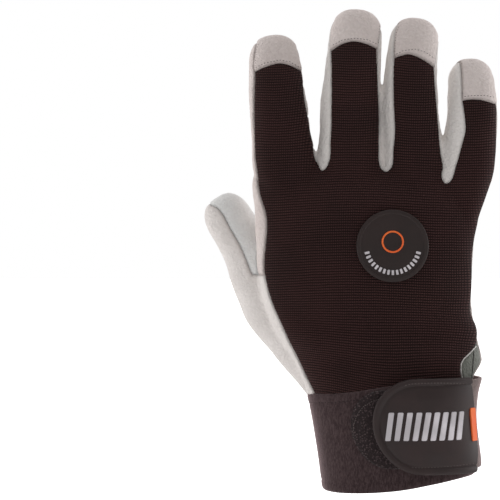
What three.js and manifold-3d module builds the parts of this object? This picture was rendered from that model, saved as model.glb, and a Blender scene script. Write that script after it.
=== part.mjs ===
// Work glove for the right hand, in millimetres, shaped as it is worn.
// The fingers point up (+Z), the back of the hand faces -Y and the thumb lies at -X.
// The origin is the middle of the wrist opening.
import * as THREE from 'three';
import { mergeVertices } from 'three/addons/utils/BufferGeometryUtils.js';
import Module from 'manifold-3d';

const wasm = await Module();
wasm.setup();

// Driving sizes
const palmHeight = 160; // hem to the gaps between the fingers
const palmWidth = 119; // across the roots of the four fingers
const palmDepth = 50; // back to front at the wrist
const indexLength = 68;
const middleLength = 81;
const ringLength = 76.5;
const littleLength = 56;
const fingerDepth = 23;
const fingerBend = 9; // how far the fingertips lean to the palm side
const thumbReach = 62; // wrist middle line to the thumb's tip, sideways
const thumbRise = 88; // thumb's root to its tip, upwards
const thumbForward = 22; // thumb's tip in front of the hand's middle
const thumbWidth = 25;
const thumbDepth = 23;
const gloveWall = 1.6; // leather and knit
const seamGap = 0.3; // between two pieces that are sewn together
const thumbMargin = 1.2; // the thumb's leather reaches this far past the thumb, over the hand
const tongueWidth = 7; // the gussets' rounded lower ends
const tongueFront = 12; // how far they reach below palmHeight on the palm side
const tongueBack = 2;
const cuffTop = 50; // hem to the top edge of the cuff at its sides
const cuffWall = 2.2;
const cuffProud = 0.6; // the cuff stands this far outside the leather
const padWall = 1.2;
const strapWall = 1.5;
const strapHeight = 46;
const strapUp = 35; // hem to the strap's middle line
const tabWall = 2;
const tabRim = 0.7; // height of the tab's raised rim
const tabRimWidth = 2.6;
const badgeRadius = 17.7;
const badgeWall = 2.4;
const badgeRimWidth = 2.4;
const badgeRimHeight = 0.7;
const badgeUp = 122; // hem to the badge's middle
const badgeAcross = -5.5;

// How finely the shapes are faceted
const palmSides = 28;
const fingerSides = 14;
const tongueSteps = 6;
const badgeSides = 36;
const smallestEdge = 0.03;

// The palm's sections. up: share of palmHeight. left, right: from the middle line, shares of palmWidth.
// deep: half the depth, and front: how far the section's middle lies in front, shares of palmDepth.
const palmRows = [
  { up: -0.1, left: 0.318, right: 0.308, deep: 0.52, front: 0 },
  { up: 0.0, left: 0.32, right: 0.306, deep: 0.515, front: 0 },
  { up: 0.17, left: 0.35, right: 0.302, deep: 0.5, front: 0 },
  { up: 0.3, left: 0.385, right: 0.312, deep: 0.48, front: 0 },
  { up: 0.4, left: 0.44, right: 0.342, deep: 0.46, front: 0.02 },
  { up: 0.5, left: 0.525, right: 0.312, deep: 0.44, front: 0.03 },
  { up: 0.62, left: 0.58, right: 0.297, deep: 0.41, front: 0.03 },
  { up: 0.78, left: 0.602, right: 0.31, deep: 0.37, front: 0.01 },
  { up: 0.88, left: 0.608, right: 0.33, deep: 0.335, front: 0 },
  { up: 0.95, left: 0.62, right: 0.31, deep: 0.28, front: 0.01 },
  { up: 0.985, left: 0.61, right: 0.26, deep: 0.2, front: 0.02 },
  { up: 1.005, left: 0.59, right: 0.2, deep: 0.1, front: 0.02 },
];
const palmSquareness = 2.5; // 2 is an oval, more is squarer
const palmHollow = { depth: 0.1, up: 0.66, height: 0.16, across: -0.1, width: 0.16 };

// Finger sections. along: share of the finger's length above palmHeight.
// wide: share of its breadth, deep: share of fingerDepth, bend: share of fingerBend.
// seam: how far the back's edge lies behind the finger's middle, shares of the distance on the palm.
const fingerRows = [
  { along: -0.5, wide: 0.84, deep: 0.96, bend: 0.0, seam: 1.0 },
  { along: -0.2, wide: 1.0, deep: 1.08, bend: 0.04, seam: 1.0 },
  { along: 0.02, wide: 1.12, deep: 1.08, bend: 0.08, seam: 0.92 },
  { along: 0.24, wide: 1.05, deep: 1.04, bend: 0.16, seam: 0.84 },
  { along: 0.42, wide: 1.02, deep: 0.97, bend: 0.3, seam: 0.76 },
  { along: 0.6, wide: 0.98, deep: 0.98, bend: 0.52, seam: 0.64 },
  { along: 0.8, wide: 0.92, deep: 0.88, bend: 0.82, seam: 0.4 },
  { along: 1.0, wide: 0.84, deep: 0.74, bend: 1.0, seam: 0.1 },
];
// Each finger's middle line, sideways, and its breadth. Shares of palmWidth.
const fingers = [
  { name: 'index', length: indexLength, root: -0.48, middle: -0.512, tip: -0.532, breadth: 0.236 },
  { name: 'middle', length: middleLength, root: -0.214, middle: -0.204, tip: -0.17, breadth: 0.242 },
  { name: 'ring', length: ringLength, root: 0.062, middle: 0.046, tip: 0.075, breadth: 0.228 },
  { name: 'little', length: littleLength, root: 0.276, middle: 0.306, tip: 0.3, breadth: 0.207 },
];
const rootSpread = 1.8; // below the palm's top, the middle lines lean this much more than above it
const tipRoundness = 0.95; // length of a digit's rounded end, share of its half breadth
const lastLevel = 0.97; // past this share of a digit's length its sections stay parallel

// The caps' lower edges. down: from the fingertip, share of the finger's length. slope: lean of the edge.
const capEdges = [
  { down: 0.27, slope: 0.0 },
  { down: 0.25, slope: 0.0 },
  { down: 0.29, slope: 0.03 },
  { down: 0.42, slope: 0.022 },
];
// The edge's curve. across and crown: shares of the finger's half breadth.
const capCurve = [
  { across: -1.25, crown: 0 },
  { across: -0.56, crown: 0.18 },
  { across: 0, crown: 0.24 },
  { across: 0.56, crown: 0.18 },
  { across: 1.25, crown: 0 },
];

// The thumb's sections. across: share of thumbReach and rise: share of thumbRise, both from the thumb's root.
// out: share of thumbForward, wide: share of thumbWidth, deep: share of thumbDepth.
const thumbRoot = { across: -0.26, up: 0.365 }; // shares of palmWidth and palmHeight
const thumbRows = [
  { along: 0.0, across: 0.0, rise: 0.0, out: 0.2, wide: 1.5, deep: 1.1 },
  { along: 0.22, across: 0.28, rise: 0.24, out: 0.45, wide: 1.52, deep: 1.2 },
  { along: 0.4, across: 0.47, rise: 0.4, out: 0.65, wide: 1.52, deep: 1.2 },
  { along: 0.55, across: 0.61, rise: 0.53, out: 0.78, wide: 1.24, deep: 1.12 },
  { along: 0.72, across: 0.73, rise: 0.7, out: 0.9, wide: 1.02, deep: 1.03 },
  { along: 0.88, across: 0.87, rise: 0.87, out: 0.98, wide: 0.97, deep: 0.95 },
  { along: 1.0, across: 1.0, rise: 1.0, out: 1.0, wide: 0.92, deep: 0.84 },
];
const thumbFree = 0.5; // the thumb stands free of the hand from this share of its length
const digitSquareness = 2.35;
const tipSteps = [0, 0.42, 0.74, 0.92, 0.99]; // shares of the rounded end
const tipSquareness = 2.5;

// The seam between the back and the palm side
const seamBehind = 8.6; // behind the hand's middle, on the thumb's side
const seamBehindLittle = 0.6; // and on the little finger's side
const seamEnds = { left: -0.62, right: 0.41 }; // shares of palmWidth

// The space between two fingers that a gusset's walls lie in. along: share of the finger's length.
// back, front: shares of half of fingerDepth. The back edge lies further in on the first finger.
const gapRows = [
  { along: -0.24, back: -0.1, front: 0.3 },
  { along: -0.1, back: -0.1, front: 0.6 },
  { along: 0.0, back: -0.55, front: 0.66 },
  { along: 0.3, back: -0.66, front: 0.66 },
  { along: 0.86, back: -0.6, front: 0.6 },
];
const gapFirstBack = 0.5; // that edge's share on the first finger

// The thumb's inner side, from the seam on its back to the one on its palm side.
// back, front: across the thumb, shares of half of thumbWidth.
const innerRows = [
  { along: 0.5, back: -0.2, front: 0.95 },
  { along: 0.62, back: -0.08, front: 0.8 },
  { along: 0.8, back: -0.1, front: 0.6 },
  { along: 0.92, back: -0.35, front: 0.4 },
  { along: 1.12, back: -0.9, front: 0.0 },
];
const thumbSeamFork = 0.06; // where the two seams below part, front to back, share of palmDepth

// Seams as points: shares of palmWidth across and of palmHeight up
const thumbSeamFront = [
  [-0.205, 0.1],
  [-0.22, 0.42],
  [-0.235, 0.55],
  [-0.262, 0.615],
  [-0.32, 0.65],
  [-0.41, 0.7],
  [-0.5, 0.78],
];
const thumbSeamBack = [
  [-0.34, 0.2],
  [-0.366, 0.31],
  [-0.472, 0.46],
  [-0.505, 0.52],
  [-0.548, 0.59],
  [-0.574, 0.672],
];
const ventSeam = [
  [0.22, 0.2],
  [0.268, 0.36],
  [0.272, 0.41],
  [0.308, 0.44],
  [0.33, 0.475],
  [0.31, 0.53],
];
// Heights round the wrist, from the little finger's side by way of the palm. Shares of cuffTop.
const cuffEdge = [1.04, 0.98, 0.88, 0.8, 0.72, 0.8, 0.96, 1.0, 1.06, 1.1, 1.1, 1.08];
const hemEdge = [0.18, 0.13, 0.06, 0.02, 0.0, 0.01, 0.02, 0.03, 0.05, 0.08, 0.13, 0.18];
const edgeInside = 0.3; // those levels hold further out than this share of palmDepth
const ventFront = 0.1; // the vent's gusset reaches this far to the front, share of palmDepth

// The fastening on the cuff. Turns are counted from +X, and the back lies at minus a quarter turn.
const strapTurn = { from: -0.52 * Math.PI, to: 0.19 * Math.PI };
const tabTurn = { from: -0.565 * Math.PI, to: -0.215 * Math.PI };
const padTurn = { from: -0.66 * Math.PI, to: -0.33 * Math.PI };
const roundTurn = 0.15 * Math.PI; // the turn that a plate's rounded end takes up
const roundSteps = [0, 0.08, 0.3, 0.62];
const plateLevels = [0.33, 0.67]; // heights of a plate's sections between its lower and upper edge
const roundBlunt = 0.3; // height of a plate at its rounded end, share of its full height
const landTurn = 0.2 * Math.PI; // the turn in which the strap comes down onto the cuff
const padShare = 0.82; // heights of the pad and of the strap, shares of the tab's
const strapShare = 0.94;

const leather = new THREE.MeshStandardMaterial({ color: 0xd8cfcb, roughness: 0.62, metalness: 0 });
const innerLeather = new THREE.MeshStandardMaterial({ color: 0xcbcccc, roughness: 0.6, metalness: 0 });
const knit = new THREE.MeshStandardMaterial({ color: 0x2a2120, roughness: 0.9, metalness: 0 });
const elastic = new THREE.MeshStandardMaterial({ color: 0x3c3133, roughness: 0.85, metalness: 0 });
const fastening = new THREE.MeshStandardMaterial({ color: 0x2b2324, roughness: 0.95, metalness: 0 });
const rubber = new THREE.MeshStandardMaterial({ color: 0x2e2627, roughness: 0.45, metalness: 0 });

const gloveTop = palmHeight + Math.max(indexLength, middleLength, ringLength, littleLength);
const far = palmWidth + thumbReach; // past the glove on every side

// One column of a table, read smoothly at any place along the key column.
function read(rows, key, column, at) {
  const last = rows.length - 1;
  const i = Math.min(Math.max(rows.findIndex((row) => row[key] > at) - 1, 0), last - 1);
  const from = at >= rows[last][key] ? last - 1 : i;
  const [p, q] = [rows[from], rows[from + 1]];
  const slope = (k) => {
    const a = rows[Math.max(k - 1, 0)];
    const b = rows[Math.min(k + 1, last)];
    return (b[column] - a[column]) / (b[key] - a[key]);
  };
  const span = q[key] - p[key];
  const s = Math.min(Math.max((at - p[key]) / span, 0), 1);
  const bend = s * s * (3 - 2 * s);
  const curve = p[column] + (q[column] - p[column]) * bend;
  return curve + span * (slope(from) * s * (1 - s) ** 2 - slope(from + 1) * s * s * (1 - s));
}

// A point of a squared oval at a turn from +X, on a unit section.
function ovalPoint(turn, squareness) {
  const [c, s] = [Math.cos(turn), Math.sin(turn)];
  const power = 2 / squareness;
  return [Math.sign(c) * Math.abs(c) ** power, Math.sign(s) * Math.abs(s) ** power];
}

// A closed solid through rings of points, each ring counter-clockwise seen from the last one's side.
function skin(rings) {
  const sides = rings[0].length;
  const points = rings.flat();
  const faces = [];
  for (let i = 0; i < rings.length - 1; i++) {
    for (let k = 0; k < sides; k++) {
      const [a, b] = [i * sides + k, i * sides + ((k + 1) % sides)];
      faces.push(a, b, b + sides, a, b + sides, a + sides);
    }
  }
  const top = (rings.length - 1) * sides;
  for (let k = 1; k < sides - 1; k++) {
    faces.push(0, k + 1, k);
    faces.push(top, top + k, top + k + 1);
  }
  const geometry = new THREE.BufferGeometry().setFromPoints(points);
  geometry.setIndex(faces);
  return solidOf(geometry);
}

function solidOf(geometry) {
  const merged = mergeVertices(geometry, 1e-4);
  return new wasm.Manifold(
    new wasm.Mesh({
      numProp: 3,
      vertProperties: merged.attributes.position.array,
      triVerts: new Uint32Array(merged.index.array),
    }),
  );
}

// The piece without the crumbs and needle-thin faces that a cut can leave.
function mainBody(solid) {
  const largest = (bodies) => bodies.reduce((most, body) => (body.volume() > most.volume() ? body : most));
  return largest(largest(solid.decompose()).asOriginal().simplify(smallestEdge).decompose());
}

function meshOf(name, solid, material) {
  const { vertProperties, triVerts } = mainBody(solid).getMesh();
  const geometry = new THREE.BufferGeometry();
  geometry.setAttribute('position', new THREE.BufferAttribute(vertProperties, 3));
  geometry.setIndex(new THREE.BufferAttribute(triVerts, 1));
  geometry.computeVertexNormals();
  const mesh = new THREE.Mesh(geometry, material);
  mesh.name = name;
  return mesh;
}

// The palm's surface at a height and a turn round the wrist, moved inwards by inset.
function palmPoint(up, turn, inset) {
  const left = palmWidth * read(palmRows, 'up', 'left', up);
  const right = palmWidth * read(palmRows, 'up', 'right', up);
  const deep = palmDepth * read(palmRows, 'up', 'deep', up);
  const [x, y] = ovalPoint(turn, palmSquareness);
  const across = (right - left) / 2 + x * ((left + right) / 2 - inset);
  const dent = palmHollow;
  const near = ((up - dent.up) / dent.height) ** 2 + ((across / palmWidth - dent.across) / dent.width) ** 2;
  const hollow = y > 0 ? palmDepth * dent.depth * Math.exp(-near) : 0;
  const out = palmDepth * read(palmRows, 'up', 'front', up) + y * (deep - inset) - hollow * Math.abs(y);
  return new THREE.Vector3(across, out, up * palmHeight);
}

function palmForm(inset) {
  const rings = palmRows.map((row) => {
    const top = row === palmRows.at(-1) ? inset / palmHeight : 0;
    const ring = [];
    for (let k = 0; k < palmSides; k++) ring.push(palmPoint(row.up, (k / palmSides) * 2 * Math.PI, inset));
    return ring.map((p) => p.setZ(p.z - top * palmHeight));
  });
  return skin(rings);
}

// A digit has a middle line and half sizes at any share of its length.
function fingerDigit(finger) {
  const halfBreadth = (finger.breadth * palmWidth) / 2;
  const line = [
    { along: -0.5, across: finger.root - (finger.middle - finger.root) * rootSpread },
    { along: 0, across: finger.root },
    { along: 0.5, across: finger.middle },
    { along: 1, across: finger.tip },
  ];
  return {
    length: finger.length,
    breadth: halfBreadth,
    starts: fingerRows.map((row) => row.along),
    middle: (t) =>
      new THREE.Vector3(
        palmWidth * read(line, 'along', 'across', t),
        fingerBend * read(fingerRows, 'along', 'bend', t),
        palmHeight + t * finger.length,
      ),
    wide: (t) => halfBreadth * read(fingerRows, 'along', 'wide', t),
    deep: (t) => (fingerDepth / 2) * read(fingerRows, 'along', 'deep', t),
  };
}

const thumb = {
  length: Math.hypot(thumbReach, thumbRise),
  breadth: thumbWidth / 2,
  starts: thumbRows.map((row) => row.along),
  middle: (t) =>
    new THREE.Vector3(
      thumbRoot.across * palmWidth - thumbReach * read(thumbRows, 'along', 'across', t),
      thumbForward * read(thumbRows, 'along', 'out', t),
      thumbRoot.up * palmHeight + thumbRise * read(thumbRows, 'along', 'rise', t),
    ),
  wide: (t) => (thumbWidth / 2) * read(thumbRows, 'along', 'wide', t),
  deep: (t) => (thumbDepth / 2) * read(thumbRows, 'along', 'deep', t),
};

// The directions across and through a digit at a share of its length.
function frameAt(digit, t) {
  const step = 0.02;
  const along = digit.middle(t + step).sub(digit.middle(t - step)).normalize();
  const across = new THREE.Vector3(along.z, 0, -along.x).normalize();
  return { across, through: new THREE.Vector3().crossVectors(along, across) };
}

function digitForm(digit, inset, from = -Infinity) {
  const end = 1 - inset / digit.length;
  const roundLength = (digit.breadth - inset) * tipRoundness;
  const roundFrom = end - roundLength / digit.length;
  const stations = digit.starts.filter((t) => t >= from && t < roundFrom - 0.03).map((t) => [t, 1]);
  for (const s of tipSteps) {
    stations.push([roundFrom + s * (end - roundFrom), (1 - s ** tipSquareness) ** (1 / tipSquareness)]);
  }
  const rings = stations.map(([t, size]) => {
    const { across, through } = frameAt(digit, Math.min(t, lastLevel));
    const [wide, deep] = [(digit.wide(t) - inset) * size, (digit.deep(t) - inset) * size];
    const ring = [];
    for (let k = 0; k < fingerSides; k++) {
      const [x, y] = ovalPoint((k / fingerSides) * 2 * Math.PI, digitSquareness);
      ring.push(digit.middle(t).addScaledVector(across, x * wide).addScaledVector(through, y * deep));
    }
    return ring;
  });
  return skin(rings);
}

const digits = fingers.map(fingerDigit);

function handForm(inset) {
  let form = palmForm(inset).add(digitForm(thumb, inset));
  for (const digit of digits) form = form.add(digitForm(digit, inset));
  return form;
}

// A solid with the outline of points across and up, from one depth to another.
function prism(points, fromY, toY) {
  const shape = new THREE.Shape(points.map(([x, z]) => new THREE.Vector2(x, z)));
  const geometry = new THREE.ExtrudeGeometry(shape, { depth: toY - fromY, bevelEnabled: false });
  geometry.deleteAttribute('normal');
  geometry.deleteAttribute('uv');
  geometry.rotateX(Math.PI / 2).translate(0, toY, 0);
  return solidOf(geometry);
}

// Everything below a level that changes round the wrist.
function below(edge, shift) {
  const levels = edge.map((share) => cuffTop * share + shift);
  const mean = levels.reduce((sum, z) => sum + z / levels.length, 0);
  const ring = (radius, heights) =>
    heights.map((z, k) => {
      const turn = (k / heights.length) * 2 * Math.PI;
      return new THREE.Vector3(radius * Math.cos(turn), radius * Math.sin(turn), z);
    });
  const floor = levels.map(() => -far);
  const middle = levels.map(() => mean);
  const inside = ring(palmDepth * edgeInside, levels);
  return skin([ring(far, floor), ring(far, levels), inside, ring(smallestEdge, middle)]);
}

// Everything in front of the seam between the back and the palm side, moved forward by shift.
function inFrontOfSeam(shift) {
  const sides = [
    { x: -far, behind: seamBehind },
    { x: seamEnds.left * palmWidth, behind: seamBehind },
    { x: seamEnds.right * palmWidth, behind: seamBehindLittle },
    { x: far, behind: seamBehindLittle },
  ];
  const levels = [-far, gloveTop + far];
  for (const row of fingerRows) levels.splice(-1, 0, palmHeight + row.along * middleLength);
  const rings = levels.map((z) => {
    const along = (z - palmHeight) / middleLength;
    const bend = fingerBend * read(fingerRows, 'along', 'bend', along);
    const share = read(fingerRows, 'along', 'seam', along);
    const front = sides.map(({ x, behind }) => new THREE.Vector3(x, bend - share * behind + shift, z));
    return [...front, new THREE.Vector3(far, far, z), new THREE.Vector3(-far, far, z)];
  });
  return skin(rings);
}

// The space between two fingers that a gusset's walls lie in, made wider by shift all round.
function betweenFingers(one, other, shift) {
  const reach = Math.min(one.length, other.length);
  const rings = gapRows.map((row, i) => {
    const t = row.along;
    const drop = i === 0 ? -shift : i === gapRows.length - 1 ? shift : 0;
    const a = one.middle((t * reach) / one.length);
    const b = other.middle((t * reach) / other.length);
    const half = fingerDepth / 2;
    const at = (p, share, side) => new THREE.Vector3(p.x, p.y + share * half + side * shift, p.z + drop);
    const firstBack = row.back * gapFirstBack;
    return [at(a, firstBack, -1), at(b, row.back, -1), at(b, row.front, 1), at(a, row.front, 1)];
  });
  const foot = one.middle(0).add(other.middle(0)).multiplyScalar(0.5);
  const tongue = (drop, fromY, toY) => {
    const radius = tongueWidth / 2;
    const round = new THREE.Path().absarc(foot.x, foot.z - drop + radius, radius + shift, Math.PI, 0);
    const points = round.getPoints(tongueSteps).map((p) => [p.x, p.y]);
    const top = foot.z + tongueWidth;
    return prism([...points, [points.at(-1)[0], top], [points[0][0], top]], fromY, toY);
  };
  return skin(rings).add(tongue(tongueFront, foot.y, far)).add(tongue(tongueBack, -far, foot.y + seamGap));
}

// The leather cap's side of its lower edge, moved down by shift.
function aboveCapEdge(finger, digit, edge, shift) {
  const at = digit.middle(1 - edge.down);
  const top = gloveTop + far;
  const rise = (edge.slope * finger.length) / -capCurve[0].across;
  const points = capCurve.map(({ across, crown }) => {
    return [at.x + across * digit.breadth, at.z + crown * digit.breadth - across * rise - shift];
  });
  return prism([[points[0][0], top], ...points, [points.at(-1)[0], top]], -far, far);
}

// The thumb's leather: the thumb itself, its ball up to the palm seam, and the side up to the back's edge.
function thumbSpace(shift) {
  const scale = ([x, z]) => [x * palmWidth, z * palmHeight];
  const front = thumbSeamFront.map(scale).map(([x, z]) => [x + shift, z + shift]);
  const back = thumbSeamBack.map(scale).map(([x, z]) => [x + shift, z]);
  const frontTop = front.at(-1);
  const backTop = back.at(-1);
  const frontOutline = [[-far, -far], [front[0][0], -far], ...front, [-far, frontTop[1]]];
  const backOutline = [[-far, -far], [back[0][0], -far], ...back, [-far, backTop[1] + shift]];
  const forked = palmDepth * thumbSeamFork;
  return digitForm(thumb, -thumbMargin - shift, thumbFree)
    .add(prism(frontOutline, forked, far))
    .add(prism(backOutline, -far, forked));
}

// The inner side of the thumb, made smaller by shift.
function insideThumb(shift) {
  const rings = innerRows.map((row) => {
    const middle = thumb.middle(Math.min(row.along, 1));
    const { across, through } = frameAt(thumb, Math.min(row.along, lastLevel));
    const along = new THREE.Vector3().crossVectors(across, through);
    middle.addScaledVector(along, Math.max(row.along - 1, 0) * thumb.length);
    const wide = thumbWidth / 2;
    const at = (x, y) => middle.clone().addScaledVector(across, x).addScaledVector(through, y);
    return [
      at(row.back * wide - shift, -thumbDepth),
      at(thumbWidth, -thumbDepth),
      at(thumbWidth, thumbDepth),
      at(row.front * wide - shift, thumbDepth),
    ];
  });
  return skin(rings);
}

// The turns at which a plate gets a section, the last one first.
function plateTurns(from, to) {
  const step = (2 * Math.PI) / palmSides;
  const turns = roundSteps.map((share) => from + share * roundTurn);
  for (let k = Math.ceil(from / step); k * step < to; k++) turns.push(k * step);
  turns.push(to);
  turns.sort((a, b) => b - a);
  return turns.filter((turn, i) => i === 0 || turns[i - 1] - turn > step * smallestEdge);
}

// A plate wrapped on the cuff between two turns. halfHeight gives its size up and down at each turn,
// and its skin lies from inner to outer outside the cuff's surface.
function wrapped({ from, to, halfHeight, inner, outer, rim = 0, rimWidth = 0 }) {
  const at = (turn, z, out) => palmPoint(z / palmHeight, turn, -cuffProud - out);
  const rings = plateTurns(from, to).map((turn) => {
    const [bottom, top] = [strapUp - halfHeight(turn), strapUp + halfHeight(turn)];
    const end = turn === from || turn === to;
    const sunk = end ? rim : 0;
    const edges = rim ? [rimWidth, rimWidth + rim] : [];
    const lower = edges.map((w, i) => ({ z: bottom + w, raised: i ? sunk : rim }));
    const upper = edges.map((w, i) => ({ z: top - w, raised: i ? sunk : rim })).reverse();
    const between = plateLevels.map((share) => ({ z: bottom + share * (top - bottom), raised: sunk }));
    const levels = [{ z: bottom, raised: rim }, ...lower, ...between, ...upper, { z: top, raised: rim }];
    const face = levels.map(({ z, raised }) => at(turn, z, outer(turn) + raised));
    const back = levels.map(({ z }) => at(turn, z, inner(turn))).reverse();
    return [...face, ...back];
  });
  return skin(rings);
}

const glove = new THREE.Group();
const half = seamGap / 2;
const shell = handForm(0).subtract(handForm(gloveWall));
const aboveCuff = shell.subtract(below(cuffEdge, half));
const thumbLeather = thumbSpace(-half);
const gaps = digits.slice(1).map((digit, i) => ({ one: digits[i], other: digit }));
let sewn = aboveCuff.subtract(thumbSpace(half));
for (const { one, other } of gaps) sewn = sewn.subtract(betweenFingers(one, other, half));
const backHalf = sewn.subtract(inFrontOfSeam(-half));

// The vent's gusset lies behind the seam on the little finger's side, between the knit and the cuff.
function ventSpace(shift) {
  const seam = ventSeam.map(([x, z]) => [x * palmWidth - shift, z * palmHeight]);
  return prism([...seam, [far, seam.at(-1)[1]], [far, seam[0][1]]], -far, palmDepth * ventFront);
}

let back = backHalf.subtract(ventSpace(half));
fingers.forEach((finger, i) => {
  back = back.subtract(aboveCapEdge(finger, digits[i], capEdges[i], half));
  const cap = backHalf.intersect(aboveCapEdge(finger, digits[i], capEdges[i], -half));
  glove.add(meshOf('cap_' + finger.name, cap, leather));
});
glove.add(meshOf('palm_panel', sewn.intersect(inFrontOfSeam(half)), leather));
glove.add(meshOf('back_panel', back, knit));
glove.add(meshOf('side_gusset', backHalf.intersect(ventSpace(-half)), leather));
gaps.forEach(({ one, other }, i) => {
  const gusset = aboveCuff.intersect(betweenFingers(one, other, -half));
  glove.add(meshOf('gusset_' + fingers[i].name + '_' + fingers[i + 1].name, gusset, leather));
});

const thumbWalls = aboveCuff.intersect(thumbLeather);
glove.add(meshOf('thumb', thumbWalls.subtract(insideThumb(half)), leather));
glove.add(meshOf('thumb_inner', thumbWalls.intersect(insideThumb(-half)), innerLeather));

const cuff = palmForm(-cuffProud)
  .subtract(palmForm(cuffWall - cuffProud))
  .intersect(below(cuffEdge, -half))
  .subtract(below(hemEdge, 0));
glove.add(meshOf('cuff', cuff, elastic));

// The fastening: a pad, the strap that is sewn on at the little finger's side, and the rubber tab on it.
const onPad = seamGap + padWall;
const onStrap = onPad + seamGap + strapWall;

// Half the height of a plate that is rounded at its end on the thumb's side
function roundedHalf(turn, from, height) {
  const s = Math.min(Math.max((turn - from) / roundTurn, 0), 1);
  return (height / 2) * (roundBlunt + (1 - roundBlunt) * Math.sqrt(1 - (1 - s) ** 2));
}

// How far outside the cuff the strap's inner face lies. It comes down onto the cuff where it is sewn on.
function strapLift(turn) {
  return seamGap + onPad * Math.min(Math.max((strapTurn.to - turn) / landTurn, 0), 1);
}

const pad = wrapped({
  ...padTurn,
  halfHeight: (turn) => roundedHalf(turn, padTurn.from, strapHeight * padShare),
  inner: () => seamGap,
  outer: () => onPad,
});
const strap = wrapped({
  ...strapTurn,
  halfHeight: (turn) => roundedHalf(turn, strapTurn.from, strapHeight * strapShare),
  inner: strapLift,
  outer: (turn) => strapLift(turn) + strapWall,
});
const tab = wrapped({
  ...tabTurn,
  halfHeight: (turn) => roundedHalf(turn, tabTurn.from, strapHeight),
  inner: () => onStrap + seamGap,
  outer: () => onStrap + seamGap + tabWall - tabRim,
  rim: tabRim,
  rimWidth: tabRimWidth,
});
glove.add(meshOf('loop_pad', pad, fastening));
glove.add(meshOf('strap', strap, elastic));
glove.add(meshOf('strap_tab', tab, rubber));

// The badge is a round plate that follows the back of the hand, with a raised rim.
function badgeForm() {
  const disc = (radius) => {
    const outline = new THREE.Path().absarc(badgeAcross, badgeUp, radius, 0, 2 * Math.PI);
    const points = outline.getPoints(badgeSides).slice(0, -1);
    return prism(points.map((p) => [p.x, p.y]), -far, 0);
  };
  const raised = disc(badgeRadius).intersect(palmForm(-seamGap - badgeWall));
  const sunk = disc(badgeRadius - badgeRimWidth).subtract(palmForm(-seamGap - badgeWall + badgeRimHeight));
  return raised.subtract(sunk).subtract(palmForm(-seamGap));
}
glove.add(meshOf('badge', badgeForm(), rubber));

export default glove;
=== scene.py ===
import math

import bpy
import bmesh
import numpy as np
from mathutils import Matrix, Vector, noise
from mathutils.bvhtree import BVHTree
from mathutils.kdtree import KDTree


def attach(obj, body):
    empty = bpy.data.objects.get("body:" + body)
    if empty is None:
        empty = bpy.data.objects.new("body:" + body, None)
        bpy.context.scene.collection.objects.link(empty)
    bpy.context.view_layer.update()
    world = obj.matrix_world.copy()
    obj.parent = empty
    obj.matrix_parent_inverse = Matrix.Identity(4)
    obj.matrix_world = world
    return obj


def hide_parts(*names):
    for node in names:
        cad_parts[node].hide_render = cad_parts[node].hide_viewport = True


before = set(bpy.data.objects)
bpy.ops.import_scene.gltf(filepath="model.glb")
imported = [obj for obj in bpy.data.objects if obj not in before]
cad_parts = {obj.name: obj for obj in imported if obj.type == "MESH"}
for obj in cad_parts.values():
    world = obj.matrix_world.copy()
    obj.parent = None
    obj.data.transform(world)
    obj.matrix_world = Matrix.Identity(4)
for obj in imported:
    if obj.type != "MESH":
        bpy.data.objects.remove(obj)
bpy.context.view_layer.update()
mm = 0.001
print("frame loaded", len(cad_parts), "nodes")


def linked(name, data):
    obj = bpy.data.objects.new(name, data)
    bpy.context.scene.collection.objects.link(obj)
    return obj


def joinPieces(name, pieces):
    # the first piece takes up the others
    bpy.ops.object.select_all(action="DESELECT")
    for piece in pieces:
        piece.select_set(True)
    bpy.context.view_layer.objects.active = pieces[0]
    bpy.ops.object.join()
    pieces[0].name = name


def applyModifier(obj, kind, **settings):
    modifier = obj.modifiers.new(kind.lower(), kind)
    for key, value in settings.items():
        setattr(modifier, key, value)
    bpy.ops.object.select_all(action="DESELECT")
    obj.select_set(True)
    bpy.context.view_layer.objects.active = obj
    bpy.ops.object.modifier_apply(modifier=modifier.name)


# camera and light

view = {
    "pixels": 500, "sensor": 36,
    "lens": 108, "distance": 0.75, "height": 0.120, "aimAcross": -0.075,
    "lampSize": 0.6, "lampAim": (-0.02, 0, 0.12),
    "lamps": {"leftLamp": (1.9, (-0.75, 0.12, 0.25)), "rightLamp": (2.3, (0.7, 0.15, 0.2)),
              "frontLamp": (0.5, (-0.45, -0.8, 0.7)), "topLamp": (1.0, (0.05, 0.1, 0.8))},
    "worldFront": 0.24, "worldBack": 0.85, "backdrop": 1.0,
    "floorWide": 12, "floorDown": 0.012, "floorGlow": 0.12, "floorSeenGlow": 0.9,
}


def makeCamera():
    camData = bpy.data.cameras.new("photoCamera")
    camData.lens = view["lens"]
    camData.sensor_width = view["sensor"]
    cam = linked("photoCamera", camData)
    cam.location = (view["aimAcross"], -view["distance"], view["height"])
    cam.rotation_euler = (math.radians(90), 0, 0)
    bpy.context.scene.camera = cam


def softLamp(name, power, place):
    lampData = bpy.data.lights.new(name, "AREA")
    lampData.energy = power
    lampData.shape = "SQUARE"
    lampData.size = view["lampSize"]
    lamp = linked(name, lampData)
    lamp.location = place
    lamp.rotation_euler = (Vector(view["lampAim"]) - Vector(place)).to_track_quat("-Z", "Y").to_euler()


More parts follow.
